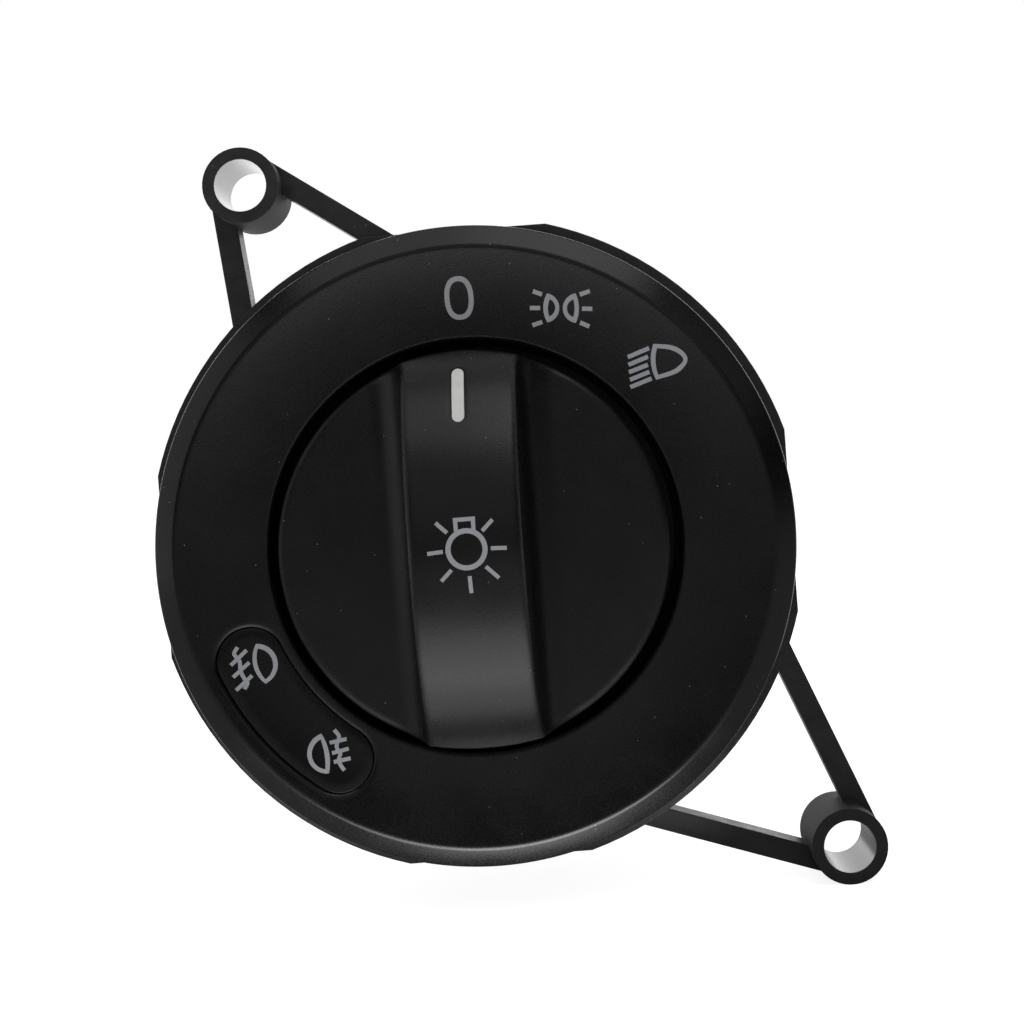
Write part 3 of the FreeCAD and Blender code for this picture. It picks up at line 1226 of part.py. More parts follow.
NODES = [
    "bezel", "fog_window", "dial_light_guide", "fog_light_pipes", "switch_housing", "rotor",
    "rotor_contact", "turn_detent_spring", "pull_detent_spring", "knob_spindle", "spindle_clip",
    "fog_contact_ring", "fog_contact_leaves", "knob_cap", "knob_pointer", "knob_light_guide",
    "lamp_board", "illumination_leds", "fog_leds", "contact_board", "board_pins",
    "board_resistors", "terminal_blades", "rear_cover", "cover_screws",
]

doc.recompute()
for thing in doc.Objects:
    if "Invalid" in thing.State or "Error" in thing.State:
        raise RuntimeError(f"{thing.Name} failed: {thing.State}")
for name in NODES:
    piece = doc.getObject(name)
    shape = piece.Shape
    if shape.isNull() or not shape.isValid():
        raise RuntimeError(f"{name} has no sound shape")
    shape.exportStep(f"parts/{name}.step")
    print(f"{name}: {len(shape.Solids)} solids, {shape.Volume:.1f} mm3, {len(shape.Faces)} faces")
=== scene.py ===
import math

import bmesh
import bpy
import numpy as np
from mathutils import Matrix, Vector


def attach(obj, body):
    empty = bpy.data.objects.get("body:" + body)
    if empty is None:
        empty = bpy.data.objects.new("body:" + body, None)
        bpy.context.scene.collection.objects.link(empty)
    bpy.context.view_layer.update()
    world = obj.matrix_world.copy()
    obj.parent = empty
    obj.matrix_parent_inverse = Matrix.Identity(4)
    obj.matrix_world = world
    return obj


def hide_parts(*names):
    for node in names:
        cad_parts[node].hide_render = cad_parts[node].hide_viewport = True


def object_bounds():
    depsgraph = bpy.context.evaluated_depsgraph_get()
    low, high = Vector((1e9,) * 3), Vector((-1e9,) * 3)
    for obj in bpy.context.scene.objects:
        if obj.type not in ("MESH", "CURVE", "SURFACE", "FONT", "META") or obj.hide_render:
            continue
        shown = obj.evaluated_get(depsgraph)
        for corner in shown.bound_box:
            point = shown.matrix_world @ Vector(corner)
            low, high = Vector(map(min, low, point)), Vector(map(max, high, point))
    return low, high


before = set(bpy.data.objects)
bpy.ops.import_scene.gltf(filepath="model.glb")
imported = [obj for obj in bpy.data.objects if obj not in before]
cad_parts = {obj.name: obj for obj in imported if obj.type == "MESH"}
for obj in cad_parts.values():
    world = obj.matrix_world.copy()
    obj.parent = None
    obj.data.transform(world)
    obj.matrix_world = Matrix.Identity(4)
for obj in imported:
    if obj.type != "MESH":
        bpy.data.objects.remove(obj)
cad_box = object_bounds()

# Housing
# One moulding in black glass-filled nylon: the flange, the drum with everything inside it, and two
# ears whose thin arms run out to the screw tubes. It is the duller of the blacks, with a cloudy
# bloom of glass fibre, a little dust, and edges rubbed smooth by handling. Their paler colour is
# partly a painted highlight.
MM = 0.001
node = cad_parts


def add(tree, kind, links, **settings):
    """A new node. Links go by socket name or number, to an output socket or a plain value."""
    made = tree.nodes.new(kind)
    for key, value in settings.items():
        setattr(made, key, value)
    for key, value in links.items():
        if isinstance(value, bpy.types.NodeSocket):
            tree.links.new(value, made.inputs[key])
        else:
            made.inputs[key].default_value = value
    return made


def maths(tree, operation, *values):
    """The result of a Math node on sockets or plain numbers."""
    return add(tree, "ShaderNodeMath", dict(enumerate(values)), operation=operation).outputs[0]


def remap(tree, value, start, end, low=0.0, high=1.0):
    """A value's run from start to end, turned into the run from low to high and held there."""
    run = {"Value": value, "From Min": start, "From Max": end, "To Min": low, "To Max": high}
    return add(tree, "ShaderNodeMapRange", run).outputs["Result"]


def mix(tree, share, first, second):
    """A number between two: the first at a share of 0, the second at 1."""
    return add(tree, "ShaderNodeMix", {0: share, 2: first, 3: second}).outputs[0]


def blend(tree, share, first, second):
    """A colour between two, each given as a socket or as red, green and blue."""
    first, second = (colour if isinstance(colour, bpy.types.NodeSocket) else (*colour, 1.0)
                     for colour in (first, second))
    return add(tree, "ShaderNodeMix", {0: share, 6: first, 7: second}, data_type="RGBA").outputs[2]


def object_place(tree):
    """The shaded point in the switch's own frame."""
    return add(tree, "ShaderNodeTexCoord", {}).outputs["Object"]


def across_y(tree):
    """The same without its Y, so that a pattern runs straight through the piece along Y."""
    return add(tree, "ShaderNodeMapping", {
        "Vector": object_place(tree), "Scale": (1.0, 0.0, 1.0)}).outputs["Vector"]


def noise(tree, place, scale, detail, roughness=0.5):
    """Fractal noise about 0.5."""
    return add(tree, "ShaderNodeTexNoise", {
        "Vector": place, "Scale": scale, "Detail": detail, "Roughness": roughness}).outputs["Fac"]


def bump(tree, height, depth, normal=None):
    """The normal of a relief whose height from 0 to 1 stands for depth mm, on another normal if
    one is given."""
    relief = add(tree, "ShaderNodeBump", {
        "Height": height, "Distance": depth * MM, "Strength": 1.0})
    if normal:
        tree.links.new(normal, relief.inputs["Normal"])
    return relief.outputs["Normal"]


def new_group(name, numbers, outputs):
    """An empty node group with number inputs, given with their usual values, and named outputs.
    It returns the group, its inputs and the sockets that its results go to."""
    group = bpy.data.node_groups.new(name, "ShaderNodeTree")
    for label, usual in numbers.items():
        socket = group.interface.new_socket(label, in_out="INPUT", socket_type="NodeSocketFloat")
        socket.default_value = usual
    for label, kind in outputs.items():
        group.interface.new_socket(label, in_out="OUTPUT", socket_type=kind)
    given = group.nodes.new("NodeGroupInput").outputs
    return group, given, group.nodes.new("NodeGroupOutput").inputs


def moulded_grain():
    """Spark-eroded grain: fine noise over a cloudier one, as a height and a mask from 0 to 1."""
    group, given, result = new_group(
        "moulded_grain", {"Grains": 6000.0, "Clouds": 120.0},
        {"Height": "NodeSocketFloat", "Cloud": "NodeSocketFloat"})
    place = object_place(group)
    cloudy = noise(group, place, given["Clouds"], 4.0)
    group.links.new(noise(group, place, given["Grains"], 2.0), result["Height"])
    group.links.new(remap(group, cloudy, 0.3, 0.7), result["Cloud"])
    return group


def rubbed_and_highlit_edges():
    """Where the rounded normal leaves the face's own there is an edge, broken up by noise. Its
    mask
    gives the edges a paler colour: rubbed wear together with a painted edge highlight.
    """
    group, given, result = new_group(
        "rubbed_and_highlit_edges", {"Width": 0.0002, "Patches": 900.0},
        {"Mask": "NodeSocketFloat", "Normal": "NodeSocketVector"})
    rounded = add(group, "ShaderNodeBevel", {"Radius": given["Width"]}, samples=6)
    face = add(group, "ShaderNodeNewGeometry", {})
    facing = add(group, "ShaderNodeVectorMath", {
        0: rounded.outputs["Normal"], 1: face.outputs["Normal"]}, operation="DOT_PRODUCT")
    edge = remap(group, facing.outputs["Value"], 0.995, 0.85)
    patches = noise(group, object_place(group), given["Patches"], 3.0)
    group.links.new(maths(group, "MULTIPLY", edge, remap(group, patches, 0.42, 0.62)),
                    result["Mask"])
    group.links.new(rounded.outputs["Normal"], result["Normal"])
    return group


def dust_specks():
    """Sparse lint: the hearts of a few random cells of a fine Voronoi pattern."""
    group, given, result = new_group(
        "dust_specks", {"Cells": 1400.0, "Share": 0.02, "Size": 0.08},
        {"Mask": "NodeSocketFloat"})
    cells = add(group, "ShaderNodeTexVoronoi", {
        "Vector": object_place(group), "Scale": given["Cells"]})
    heart = maths(group, "LESS_THAN", cells.outputs["Distance"], given["Size"])
    lot = add(group, "ShaderNodeSeparateColor", {"Color": cells.outputs["Color"]})
    drawn = maths(group, "LESS_THAN", lot.outputs["Red"], given["Share"])
    group.links.new(maths(group, "MULTIPLY", heart, drawn), result["Mask"])
    return group


GRAIN = moulded_grain()
EDGES = rubbed_and_highlit_edges()
DUST = dust_specks()


def new_material(name):
    """A new material with its node tree and its shader."""
    material = bpy.data.materials.new(name)
    material.use_nodes = True
    return material, material.node_tree, material.node_tree.nodes["Principled BSDF"]


def feed(tree, shader, colour, rough, normal):
    """Links a shader to the three sockets that change over the surface."""
    for label, socket in (("Base Color", colour), ("Roughness", rough), ("Normal", normal)):
        tree.links.new(socket, shader.inputs[label])


SPARKLE = 0.05
RUBBED_SHINE = 0.12
LINT = (0.22, 0.22, 0.21)


def plastic(name, colour, rough, grains, depth, clouds=120.0, edge=0.0, edge_wear_and_highlight=None, dust=0.0,
            gloss=0.5):
    """A moulded plastic. Colour and rough each run between two values with the clouds, the grain
    is a bump of depth mm, edge is the rounding of sharp edges in mm, and the next argument their
    paler colour: rubbed wear together with a painted edge highlight. Dust is the share of cells
    that hold a speck."""
    material, tree, shader = new_material(name)
    shader.inputs["Specular IOR Level"].default_value = gloss
    grain = add(tree, "ShaderNodeGroup", {"Grains": grains, "Clouds": clouds}, node_tree=GRAIN)
    cloud, height = grain.outputs["Cloud"], grain.outputs["Height"]
    tone = blend(tree, cloud, *colour)
    matt = maths(tree, "ADD", remap(tree, cloud, 0.0, 1.0, *rough),
                 remap(tree, height, 0.35, 0.65, -SPARKLE, SPARKLE))
    normal = None
    if edge:
        wear = add(tree, "ShaderNodeGroup", {"Width": edge * MM}, node_tree=EDGES)
        normal = wear.outputs["Normal"]
        # The paler colour on the edges is rubbed wear and also a painted edge highlight.
        if edge_wear_and_highlight:
            worn_and_highlit = wear.outputs["Mask"]
            tone = blend(tree, worn_and_highlit, tone, edge_wear_and_highlight)
            matt = maths(tree, "SUBTRACT", matt, maths(tree, "MULTIPLY", worn_and_highlit, RUBBED_SHINE))
    if dust:
        specks = add(tree, "ShaderNodeGroup", {"Share": dust}, node_tree=DUST)
        tone = blend(tree, specks.outputs["Mask"], tone, LINT)
    feed(tree, shader, tone, matt, bump(tree, height, depth, normal))
    return material


def dress(names, material):
    """Gives CAD nodes another material in all their slots."""
    for name in names:
        for slot in node[name].material_slots:
            slot.material = material


housing_black = plastic(
    "housing_black", ((0.005, 0.005, 0.0052), (0.015, 0.0144, 0.0136)), (0.42, 0.56), 4200, 0.02,
    clouds=520.0, edge=0.22, edge_wear_and_highlight=(0.03, 0.03, 0.029), dust=0.03)
dress(["switch_housing"], housing_black)

# The core pins that form the two screw bores are polished, and the outsides of the tubes are the
# coarsest of all. Both are told by the distance from the axes of the tubes.
EAR_AXES = ((-0.02482, 0.0, 0.04456), (0.04142, 0.0, -0.03899))
POLISH_START = 3.3
POLISH_FULL = 3.2
POLISHED = 0.2
TUBE_RADIUS = 4.5
TUBE_BAND = 0.25
ERODED = 0.72
tree = housing_black.node_tree
shader = tree.nodes["Principled BSDF"]
flat = across_y(tree)
near = [add(tree, "ShaderNodeVectorMath", {0: flat, 1: axis}, operation="DISTANCE")
        for axis in EAR_AXES]
nearest = maths(tree, "MINIMUM", *(way.outputs["Value"] for way in near))
inside = remap(tree, nearest, POLISH_START * MM, POLISH_FULL * MM)
moulded = shader.inputs["Roughness"].links[0].from_socket
polished = mix(tree, inside, moulded, POLISHED)
skirt = maths(tree, "COMPARE", nearest, TUBE_RADIUS * MM, TUBE_BAND * MM)
tree.links.new(mix(tree, skirt, polished, ERODED), shader.inputs["Roughness"])

# Rotor and springs
# The rotor is natural acetal, waxy and slightly see-through at its edges. The detent springs and
# the spindle's clip are bent from hard-drawn spring steel, the contacts from rolled brass.
rotor_natural = plastic(
    "rotor_natural", ((0.58, 0.55, 0.47), (0.66, 0.64, 0.57)), (0.32, 0.42), 2500, 0.006,
    edge=0.15, edge_wear_and_highlight=(0.75, 0.73, 0.68))
waxy = rotor_natural.node_tree.nodes["Principled BSDF"]
waxy.inputs["Subsurface Weight"].default_value = 0.15
waxy.inputs["Subsurface Scale"].default_value = 0.5 * MM
dress(["rotor", "board_pins"], rotor_natural)


def drawn_metal():
    """Draw and roll marks: noise stretched along Y, with larger clouds of tarnish beside it."""
    group, given, result = new_group(
        "drawn_metal", {"Marks": 2500.0, "Tarnish": 350.0},
        {"Marks": "NodeSocketFloat", "Tarnish": "NodeSocketFloat"})
    place = object_place(group)
    along = add(group, "ShaderNodeMapping", {"Vector": place, "Scale": (1.0, 0.06, 1.0)})
    marks = noise(group, along.outputs["Vector"], given["Marks"], 4.0, 0.7)
    clouds = noise(group, place, given["Tarnish"], 4.0)
    group.links.new(marks, result["Marks"])
    group.links.new(remap(group, clouds, 0.42, 0.68), result["Tarnish"])
    return group


DRAWN = drawn_metal()
METAL_EDGE = 0.08


def metal(name, bright, tarnished, rough, depth):
    """A drawn or rolled metal: its colour darkens with the tarnish, its marks are a fine bump of
    depth mm, and rough runs between two values with them."""
    material, tree, shader = new_material(name)
    shader.inputs["Metallic"].default_value = 1.0
    drawn = add(tree, "ShaderNodeGroup", {}, node_tree=DRAWN).outputs
    wear = add(tree, "ShaderNodeGroup", {"Width": METAL_EDGE * MM}, node_tree=EDGES)
    feed(tree, shader, blend(tree, drawn["Tarnish"], bright, tarnished),
         remap(tree, drawn["Marks"], 0.35, 0.65, *rough),
         bump(tree, drawn["Marks"], depth, wear.outputs["Normal"]))
    return material


brass = metal("contact_brass", (0.80, 0.58, 0.27), (0.46, 0.28, 0.12), (0.20, 0.38), 0.004)
dress(["rotor_contact", "fog_contact_ring", "fog_contact_leaves"], brass)
dress(["turn_detent_spring", "pull_detent_spring", "spindle_clip"], metal(
    "spring_steel", (0.56, 0.56, 0.57), (0.30, 0.29, 0.28), (0.22, 0.36), 0.003))

# Contact board and lamp board
# Glass-fibre laminate under green solder lacquer. The copper tracks stand a hair proud below the
# lacquer and show paler, and the weave of the glass makes a fine square ripple. The lamps are
# white ceramic packages with a yellow lens, the resistors black glaze on ceramic.
LACQUER = (0.008, 0.075, 0.028)
LACQUERED_TRACK = (0.03, 0.17, 0.06)
WEAVE_DEPTH = 0.004
TRACK_DEPTH = 0.035
laminate, tree, shader = new_material("board_green")
shader.inputs["Specular IOR Level"].default_value = 0.55
flat = across_y(tree)
between = add(tree, "ShaderNodeTexVoronoi", {
    "Vector": flat, "Scale": 260.0, "Randomness": 0.75}, feature="DISTANCE_TO_EDGE")
track = remap(tree, between.outputs["Distance"], 0.11, 0.08)
weave = add(tree, "ShaderNodeTexWave", {
    "Vector": flat, "Scale": 700.0, "Distortion": 0.6}).outputs["Fac"]
feed(tree, shader, blend(tree, track, LACQUER, LACQUERED_TRACK),
     remap(tree, weave, 0.0, 1.0, 0.24, 0.34),
     bump(tree, track, TRACK_DEPTH, bump(tree, weave, WEAVE_DEPTH)))
dress(["lamp_board", "contact_board"], laminate)
dress(["illumination_leds", "fog_leds"], plastic(
    "lamp_white", ((0.82, 0.80, 0.70), (0.86, 0.74, 0.34)), (0.18, 0.30), 1500, 0.004,
    clouds=700.0, edge=0.1))
dress(["board_resistors"], plastic(
    "resistor_black", ((0.012, 0.012, 0.013), (0.03, 0.03, 0.032)), (0.18, 0.34), 3000, 0.004,
    clouds=900.0, edge=0.1, edge_wear_and_highlight=(0.55, 0.55, 0.56)))

# Light guides
# Clear acrylic: the arc below the dial's signs, the two rods behind the fog lamp window, and the
# rod and arm in the knob. Flow lines from the mould make a faint ripple.
CLEAR = (0.95, 0.97, 0.97)
FLOW_LINE = tuple(0.94 * part for part in CLEAR)
FLOW_DEPTH = 0.02
guide_clear, tree, shader = new_material("guide_clear")
shader.inputs["Transmission Weight"].default_value = 1.0
shader.inputs["IOR"].default_value = 1.49
flow = add(tree, "ShaderNodeGroup", {"Grains": 420.0, "Clouds": 250.0}, node_tree=GRAIN).outputs
feed(tree, shader, blend(tree, flow["Cloud"], CLEAR, FLOW_LINE),
     remap(tree, flow["Cloud"], 0.0, 1.0, 0.03, 0.075), bump(tree, flow["Height"], FLOW_DEPTH))
dress(["dial_light_guide", "fog_light_pipes", "knob_light_guide"], guide_clear)

# Spindle
# A square rod in grey glass-filled plastic that carries the knob and slides through the rotor. Its
# corners are polished by the sliding, and their paler colour is partly a painted highlight.
dress(["knob_spindle"], plastic(
    "spindle_grey", ((0.09, 0.09, 0.095), (0.14, 0.14, 0.145)), (0.30, 0.42), 3500, 0.008,
    clouds=300.0, edge=0.15, edge_wear_and_highlight=(0.22, 0.22, 0.22)))

# Rear cover
# The lid with the plug socket, in the same black nylon as the housing but from another mould: a
# coarser grain and a slightly glossier skin.
dress(["rear_cover"], plastic(
    "cover_black", ((0.007, 0.007, 0.007), (0.012, 0.012, 0.012)), (0.36, 0.48), 3000, 0.014,
    clouds=200.0, edge=0.25, edge_wear_and_highlight=(0.02, 0.02, 0.02), dust=0.01))

# Cover screws
# Four thread-forming screws in zinc-plated steel, with a low domed head and a six-lobed recess.
# They hold the rear cover to the lugs of the housing, and the drive has scuffed the plating.
SCREW_PLACES = [(23.33, 23.33), (-23.33, 23.33), (-23.33, -23.33), (23.33, -23.33)]
RECESS = [(0.0, 30.35), (0.86, 30.45), (0.97, 30.6), (1.0, 31.25), (1.06, 31.34)]
LOBE_DEPTH = 0.14
DOME_RADIUS, DOME_REACH = 1.3, 1.06
DOME_Y, DOME_RISE = 30.55, 0.85
UNDER_HEAD = [(2.4, 30.1), (2.34, 29.82), (1.5, 29.8)]
SHANK_Y, POINT_Y, TIP_Y = 29.7, 20.8, 20.75
THREAD_PITCH = 1.1
CORE_RADIUS = 0.76
THREAD_DEPTH = 0.19
POINT_LENGTH = 1.2


def skin(name, patches, material, body, sharp=40):
    """One closed mesh from grids of points in millimetres, each rows x columns x 3. A patch says
    whether its columns and its rows run round, and doubles such as poles are merged."""
    vertices, faces, start = [], [], 0
    for grid, columns_close, rows_close in patches:
        rows, columns = grid.shape[:2]
        index = start + np.arange(rows * columns).reshape(rows, columns)
        after = np.roll(index, -1, axis=0)
        quads = np.stack([index, np.roll(index, -1, axis=1), np.roll(after, -1, axis=1), after], 2)
        quads = quads if rows_close else quads[:-1]
        quads = quads if columns_close else quads[:, :-1]
        faces.append(quads.reshape(-1, 4))
        vertices.append(grid.reshape(-1, 3))
        start += rows * columns
    mesh = bpy.data.meshes.new(name)
    mesh.from_pydata((np.concatenate(vertices) * MM).tolist(), [], np.concatenate(faces).tolist())
    shape = bmesh.new()
    shape.from_mesh(mesh)
    bmesh.ops.remove_doubles(shape, verts=shape.verts, dist=1e-7)
    bmesh.ops.recalc_face_normals(shape, faces=shape.faces)
    shape.to_mesh(mesh)
    shape.free()
    mesh.polygons.foreach_set("use_smooth", [True] * len(mesh.polygons))
    mesh.set_sharp_from_angle(angle=math.radians(sharp))
    mesh.materials.append(material)
    piece = bpy.data.objects.new(name, mesh)
    bpy.context.scene.collection.objects.link(piece)
    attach(piece, body)
    return piece


def screw(x, z, turn):
    """A profile turned about Y: recess, domed head, shank with a helix, point. The recess radius
    is multiplied by 1 + 0.14 cos 6a. The thread adds up to 0.19 mm by the square of a ramp that
    rises and falls once in every pitch, and the point tapers it off."""
    a = np.linspace(0, 2 * math.pi, 48, endpoint=False)[None, :]
    round_about = np.ones_like(a)
    lobes = 1.0 + LOBE_DEPTH * np.cos(6 * (a + turn))
    bend = np.linspace(0, math.pi / 2, 9)[:, None]
    along = np.linspace(SHANK_Y, POINT_Y, 76)[:, None]
    ramp = np.abs((along / THREAD_PITCH + a / (2 * math.pi)) % 1.0 - 0.5) * 2
    taper = np.clip((along - POINT_Y) / POINT_LENGTH, 0.25, 1)
    radius = np.concatenate(
        [r * lobes for r, _ in RECESS] + [(DOME_RADIUS + DOME_REACH * np.sin(bend)) * round_about]
        + [r * round_about for r, _ in UNDER_HEAD]
        + [taper * (CORE_RADIUS + THREAD_DEPTH * ramp ** 2), 0 * a])
    height = np.concatenate(
        [y * round_about for _, y in RECESS] + [(DOME_Y + DOME_RISE * np.cos(bend)) * round_about]
        + [y * round_about for _, y in UNDER_HEAD] + [along * round_about, TIP_Y * round_about])
    return np.stack([x + radius * np.cos(a), height, z + radius * np.sin(a)], 2), True, False


zinc = metal("screw_zinc", (0.62, 0.63, 0.64), (0.42, 0.43, 0.42), (0.26, 0.42), 0.003)
piece = skin("cover_screw_set", [screw(x, z, 0.4 * i) for i, (x, z) in enumerate(SCREW_PLACES)],
             zinc, "housing")
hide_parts("cover_screws")

# Terminal blades
# Ten blades stamped from brass strip, 1.6 by 0.7 mm, set into the contact board in two rows. The
# tips are coined to a taper so that the vehicle's plug slides on.
BLADE_COLUMNS = (-9.6, -4.8, 0, 4.8, 9.6)
BLADE_ROWS = (-16.8, -11.2)
BLADE_HALF_WIDTH = 0.8
BLADE_HALF_THICKNESS = 0.35
BLADE_Y = (25.6, 25.6, 25.62, 37.2, 37.9, 38.5, 38.76, 38.8, 38.8)
BLADE_SHARE = (0.0, 0.97, 1.0, 1.0, 0.8, 0.58, 0.5, 0.42, 0.0)


def blade(x, z):
    """A superellipse, close to a rectangle, carried along Y. Its thickness is multiplied by the
    share at each Y, and its width by 0.55 + 0.45 times that share."""
    a = np.linspace(0, 2 * math.pi, 24, endpoint=False)[None, :]
    y, share = np.array(BLADE_Y)[:, None], np.array(BLADE_SHARE)[:, None]
    round_x, round_z = (np.sign(f(a)) * np.abs(f(a)) ** 0.35 for f in (np.cos, np.sin))
    narrow = np.where(share > 0, 0.55 + 0.45 * share, 0)
    return np.stack([x + BLADE_HALF_WIDTH * narrow * round_x, y + 0 * a,
                     z + BLADE_HALF_THICKNESS * share * round_z], 2), True, False


piece = skin("plug_blades", [blade(x, z) for x in BLADE_COLUMNS for z in BLADE_ROWS],
             brass, "housing")
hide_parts("terminal_blades")

# Bezel
# One moulding in black ABS with a fine satin texture: the lip against the dashboard, a bevel up to
# a soft ridge, and the dial, dished towards the knob. Four hooks snap it over the housing's
# flange, and a kidney-shaped hole with a rounded lip holds the fog lamp window.
LIP_RADIUS = 37.5
SKIRT_INSIDE = 35.5
RIDGE_RADIUS = 34.92
COLLAR_RADIUS = 25.4
OPENING_RADIUS = 24.0
RIM_Y = -4.3
RIDGE_Y = -5.8
DIAL_DROP = 1.3
DIAL_WALL = 1.8
LIP_ROUNDING = 0.5
RIDGE_ROUNDING = 1.0
OPENING_ROUNDING = 0.6
WINDOW_RADIUS = 29.4
WINDOW_HALF = 3.9
WINDOW_ENDS = (216.7, 247.3)
WINDOW_LIP = 0.65
LIP_DROP = 0.3
WINDOW_COLUMNS = (207, 257)
DIAL_ROWS = np.linspace(24.7, 34.35, 13)
BACK_ROWS = np.linspace(COLLAR_RADIUS, 34.3, 13)
HOOK_CLOCKS = (0.0, 90.0, 180.0, 270.0)
HOOK_HALF = 4
HOOK_CORNERS = [(35.5, -2.15), (36.9, -2.15), (36.9, 4.35), (36.7, 4.55), (35.4, 4.55),
                (34.55, 3.45), (34.4, 3.15), (35.5, 3.15)]


def dial_y(r):
    """Y of the dial. With u from 0 at the opening to 1 at the ridge it is the ridge's Y and
    1.3 (1 - u)(1 + 0.8 u) more, so it is steepest at the ridge."""
    u = (r - OPENING_RADIUS) / (RIDGE_RADIUS - OPENING_RADIUS)
    return RIDGE_Y + DIAL_DROP * (1 - u) * (1 + 0.8 * u)


def filleted(corners, steps=9):
    """A closed outline of corners (r, y, rounding), each rounded one made an arc that touches both
    of its sides: the centre lies on the bisector, rounding / sin(half angle) from the corner."""
    flat = np.array([corner[:2] for corner in corners])
    outline = []
    for i, (_, _, radius) in enumerate(corners):
        if not radius:
            outline.append(flat[i:i + 1])
            continue
        to, on = flat[i - 1] - flat[i], flat[(i + 1) % len(flat)] - flat[i]
        to, on = to / np.linalg.norm(to), on / np.linalg.norm(on)
        half = math.acos(np.clip(to @ on, -1, 1)) / 2
        middle = (to + on) / np.linalg.norm(to + on)
        centre = flat[i] + middle * radius / math.sin(half)
        first = flat[i] + to * radius / math.tan(half) - centre
        last = flat[i] + on * radius / math.tan(half) - centre
        t = np.linspace(0, 1, steps)[:, None]
        whole = math.pi - 2 * half
        outline.append(centre + (np.sin((1 - t) * whole) * first
                                 + np.sin(t * whole) * last) / math.sin(whole))
    return np.concatenate(outline)


def around(clock):
    """Unit vector across the dial at a clock angle in degrees: 0 is up, 90 is right."""
    return np.stack([np.sin(np.radians(clock)), np.cos(np.radians(clock))], -1)


def from_arc(points):
    """The nearest point of the window's middle arc to each point, the way there, the distance."""
    clock = np.degrees(np.arctan2(points[:, 0], points[:, 1])) % 360
    middle = WINDOW_RADIUS * around(np.clip(clock, *WINDOW_ENDS))
    way = points - middle
    length = np.linalg.norm(way, axis=1, keepdims=True)
    return middle, way / length, length


def rim_of_block(clocks, radii):
    """The outline of a block of the polar grid, as points across the dial in order."""
    outer, inner = radii[-1] * around(clocks), radii[0] * around(clocks)
    up, down = radii[:, None] * around(clocks[-1:]), radii[:, None] * around(clocks[:1])
    return np.concatenate([outer[:-1], up[::-1][:-1], inner[::-1][:-1], down[:-1]])


def on_dial(points, shift):
    """Points across the dial lifted to the dial's own surface and shifted backwards."""
    r = np.linalg.norm(points, axis=1)
    return np.stack([points[:, 0], dial_y(r) + shift, points[:, 1]], 1)


def hook(clock):
    """A snap hook's outline in radius and Y, closed by its middle at both ends of its width."""
    corners = np.array(HOOK_CORNERS)
    heart = np.tile(corners.mean(axis=0), (len(corners), 1))
    rows = [(heart, -HOOK_HALF), (corners, -HOOK_HALF), (corners, HOOK_HALF), (heart, HOOK_HALF)]
    out, side = around(clock), around(clock + 90)
    return np.stack([np.stack([c[:, 0] * out[0] + s * side[0], c[:, 1],
                               c[:, 0] * out[1] + s * side[1]], 1) for c, s in rows]), True, False


def turned_skin(grid, first, last, starts):
    """A closed grid of rows x columns as patches. From column first to column last, the blocks of
    rows of the dial's front and back are left out, each from its own start."""
    count = len(grid)
    patches = [(np.concatenate([grid[:, last:], grid[:, :first + 1]], axis=1), False, True)]
    inside = grid[:, first:last + 1]
    marks = [0] + [edge for at in starts for edge in (at, at + len(DIAL_ROWS) - 1)] + [count]
    for start, stop in zip(marks[::2], marks[1::2]):
        rows = np.arange(start, stop + 1) % count
        patches.append((np.take(inside, rows, axis=0), False, False))
    return patches


profile = filleted(
    [(LIP_RADIUS, 0, 0), (LIP_RADIUS, RIM_Y, LIP_ROUNDING),
     (RIDGE_RADIUS, RIDGE_Y, RIDGE_ROUNDING)]
    + [(r, dial_y(r), 0) for r in DIAL_ROWS[::-1]]
    + [(OPENING_RADIUS, dial_y(OPENING_RADIUS), OPENING_ROUNDING),
       (OPENING_RADIUS, 0, 0), (COLLAR_RADIUS, 0, 0)]
    + [(r, dial_y(r) + DIAL_WALL, 0) for r in BACK_ROWS]
    + [(SKIRT_INSIDE, dial_y(SKIRT_INSIDE) + DIAL_WALL, 0), (SKIRT_INSIDE, 0, 0)])
clocks = np.arange(0.0, 360.0, 1.0)
outward = around(clocks)
ring_grid = np.stack([profile[:, :1] * outward[None, :, 0], profile[:, 1:] + 0 * clocks[None, :],
                      profile[:, :1] * outward[None, :, 1]], 2)
front_corner = (DIAL_ROWS[-1], dial_y(DIAL_ROWS[-1]))
back_corner = (BACK_ROWS[0], dial_y(BACK_ROWS[0]) + DIAL_WALL)
starts = [int(np.argmin(np.abs(profile - corner).sum(1)))
          for corner in (front_corner, back_corner)]
block = clocks[WINDOW_COLUMNS[0]:WINDOW_COLUMNS[1] + 1]

# The hole's wall runs from the block's outline on the dial to the lip, round it, and behind the
# dial out again to the block's outline there.
middle, way, length = from_arc(rim_of_block(block, DIAL_ROWS))
lip_edge = WINDOW_HALF + WINDOW_LIP
hole = [on_dial(middle + way * (length + (lip_edge - length) * t), 0.0)
        for t in (0.0, 0.3, 0.65, 1.0)]
for roll in np.radians(np.linspace(15, 90, 6)):
    across = middle + way * (WINDOW_HALF + WINDOW_LIP * (1 - math.sin(roll)))
    hole.append(on_dial(across, LIP_DROP * (1 - math.cos(roll))))
middle, way, length = from_arc(rim_of_block(block, BACK_ROWS))
hole += [on_dial(middle + way * (WINDOW_HALF + (length - WINDOW_HALF) * t), DIAL_WALL)
         for t in (0.0, 0.35, 0.7, 1.0)]

bezel_black = plastic(
    "bezel_black", ((0.0018, 0.0018, 0.0018), (0.0032, 0.0032, 0.0032)), (0.23, 0.29), 7000, 0.010,
    clouds=160.0, dust=0.05, gloss=0.42)
piece = skin("dial_bezel", turned_skin(ring_grid, *WINDOW_COLUMNS, starts)
             + [(np.stack(hole), True, False)] + [hook(clock) for clock in HOOK_CLOCKS],
             bezel_black, "housing", sharp=35)
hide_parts("bezel")

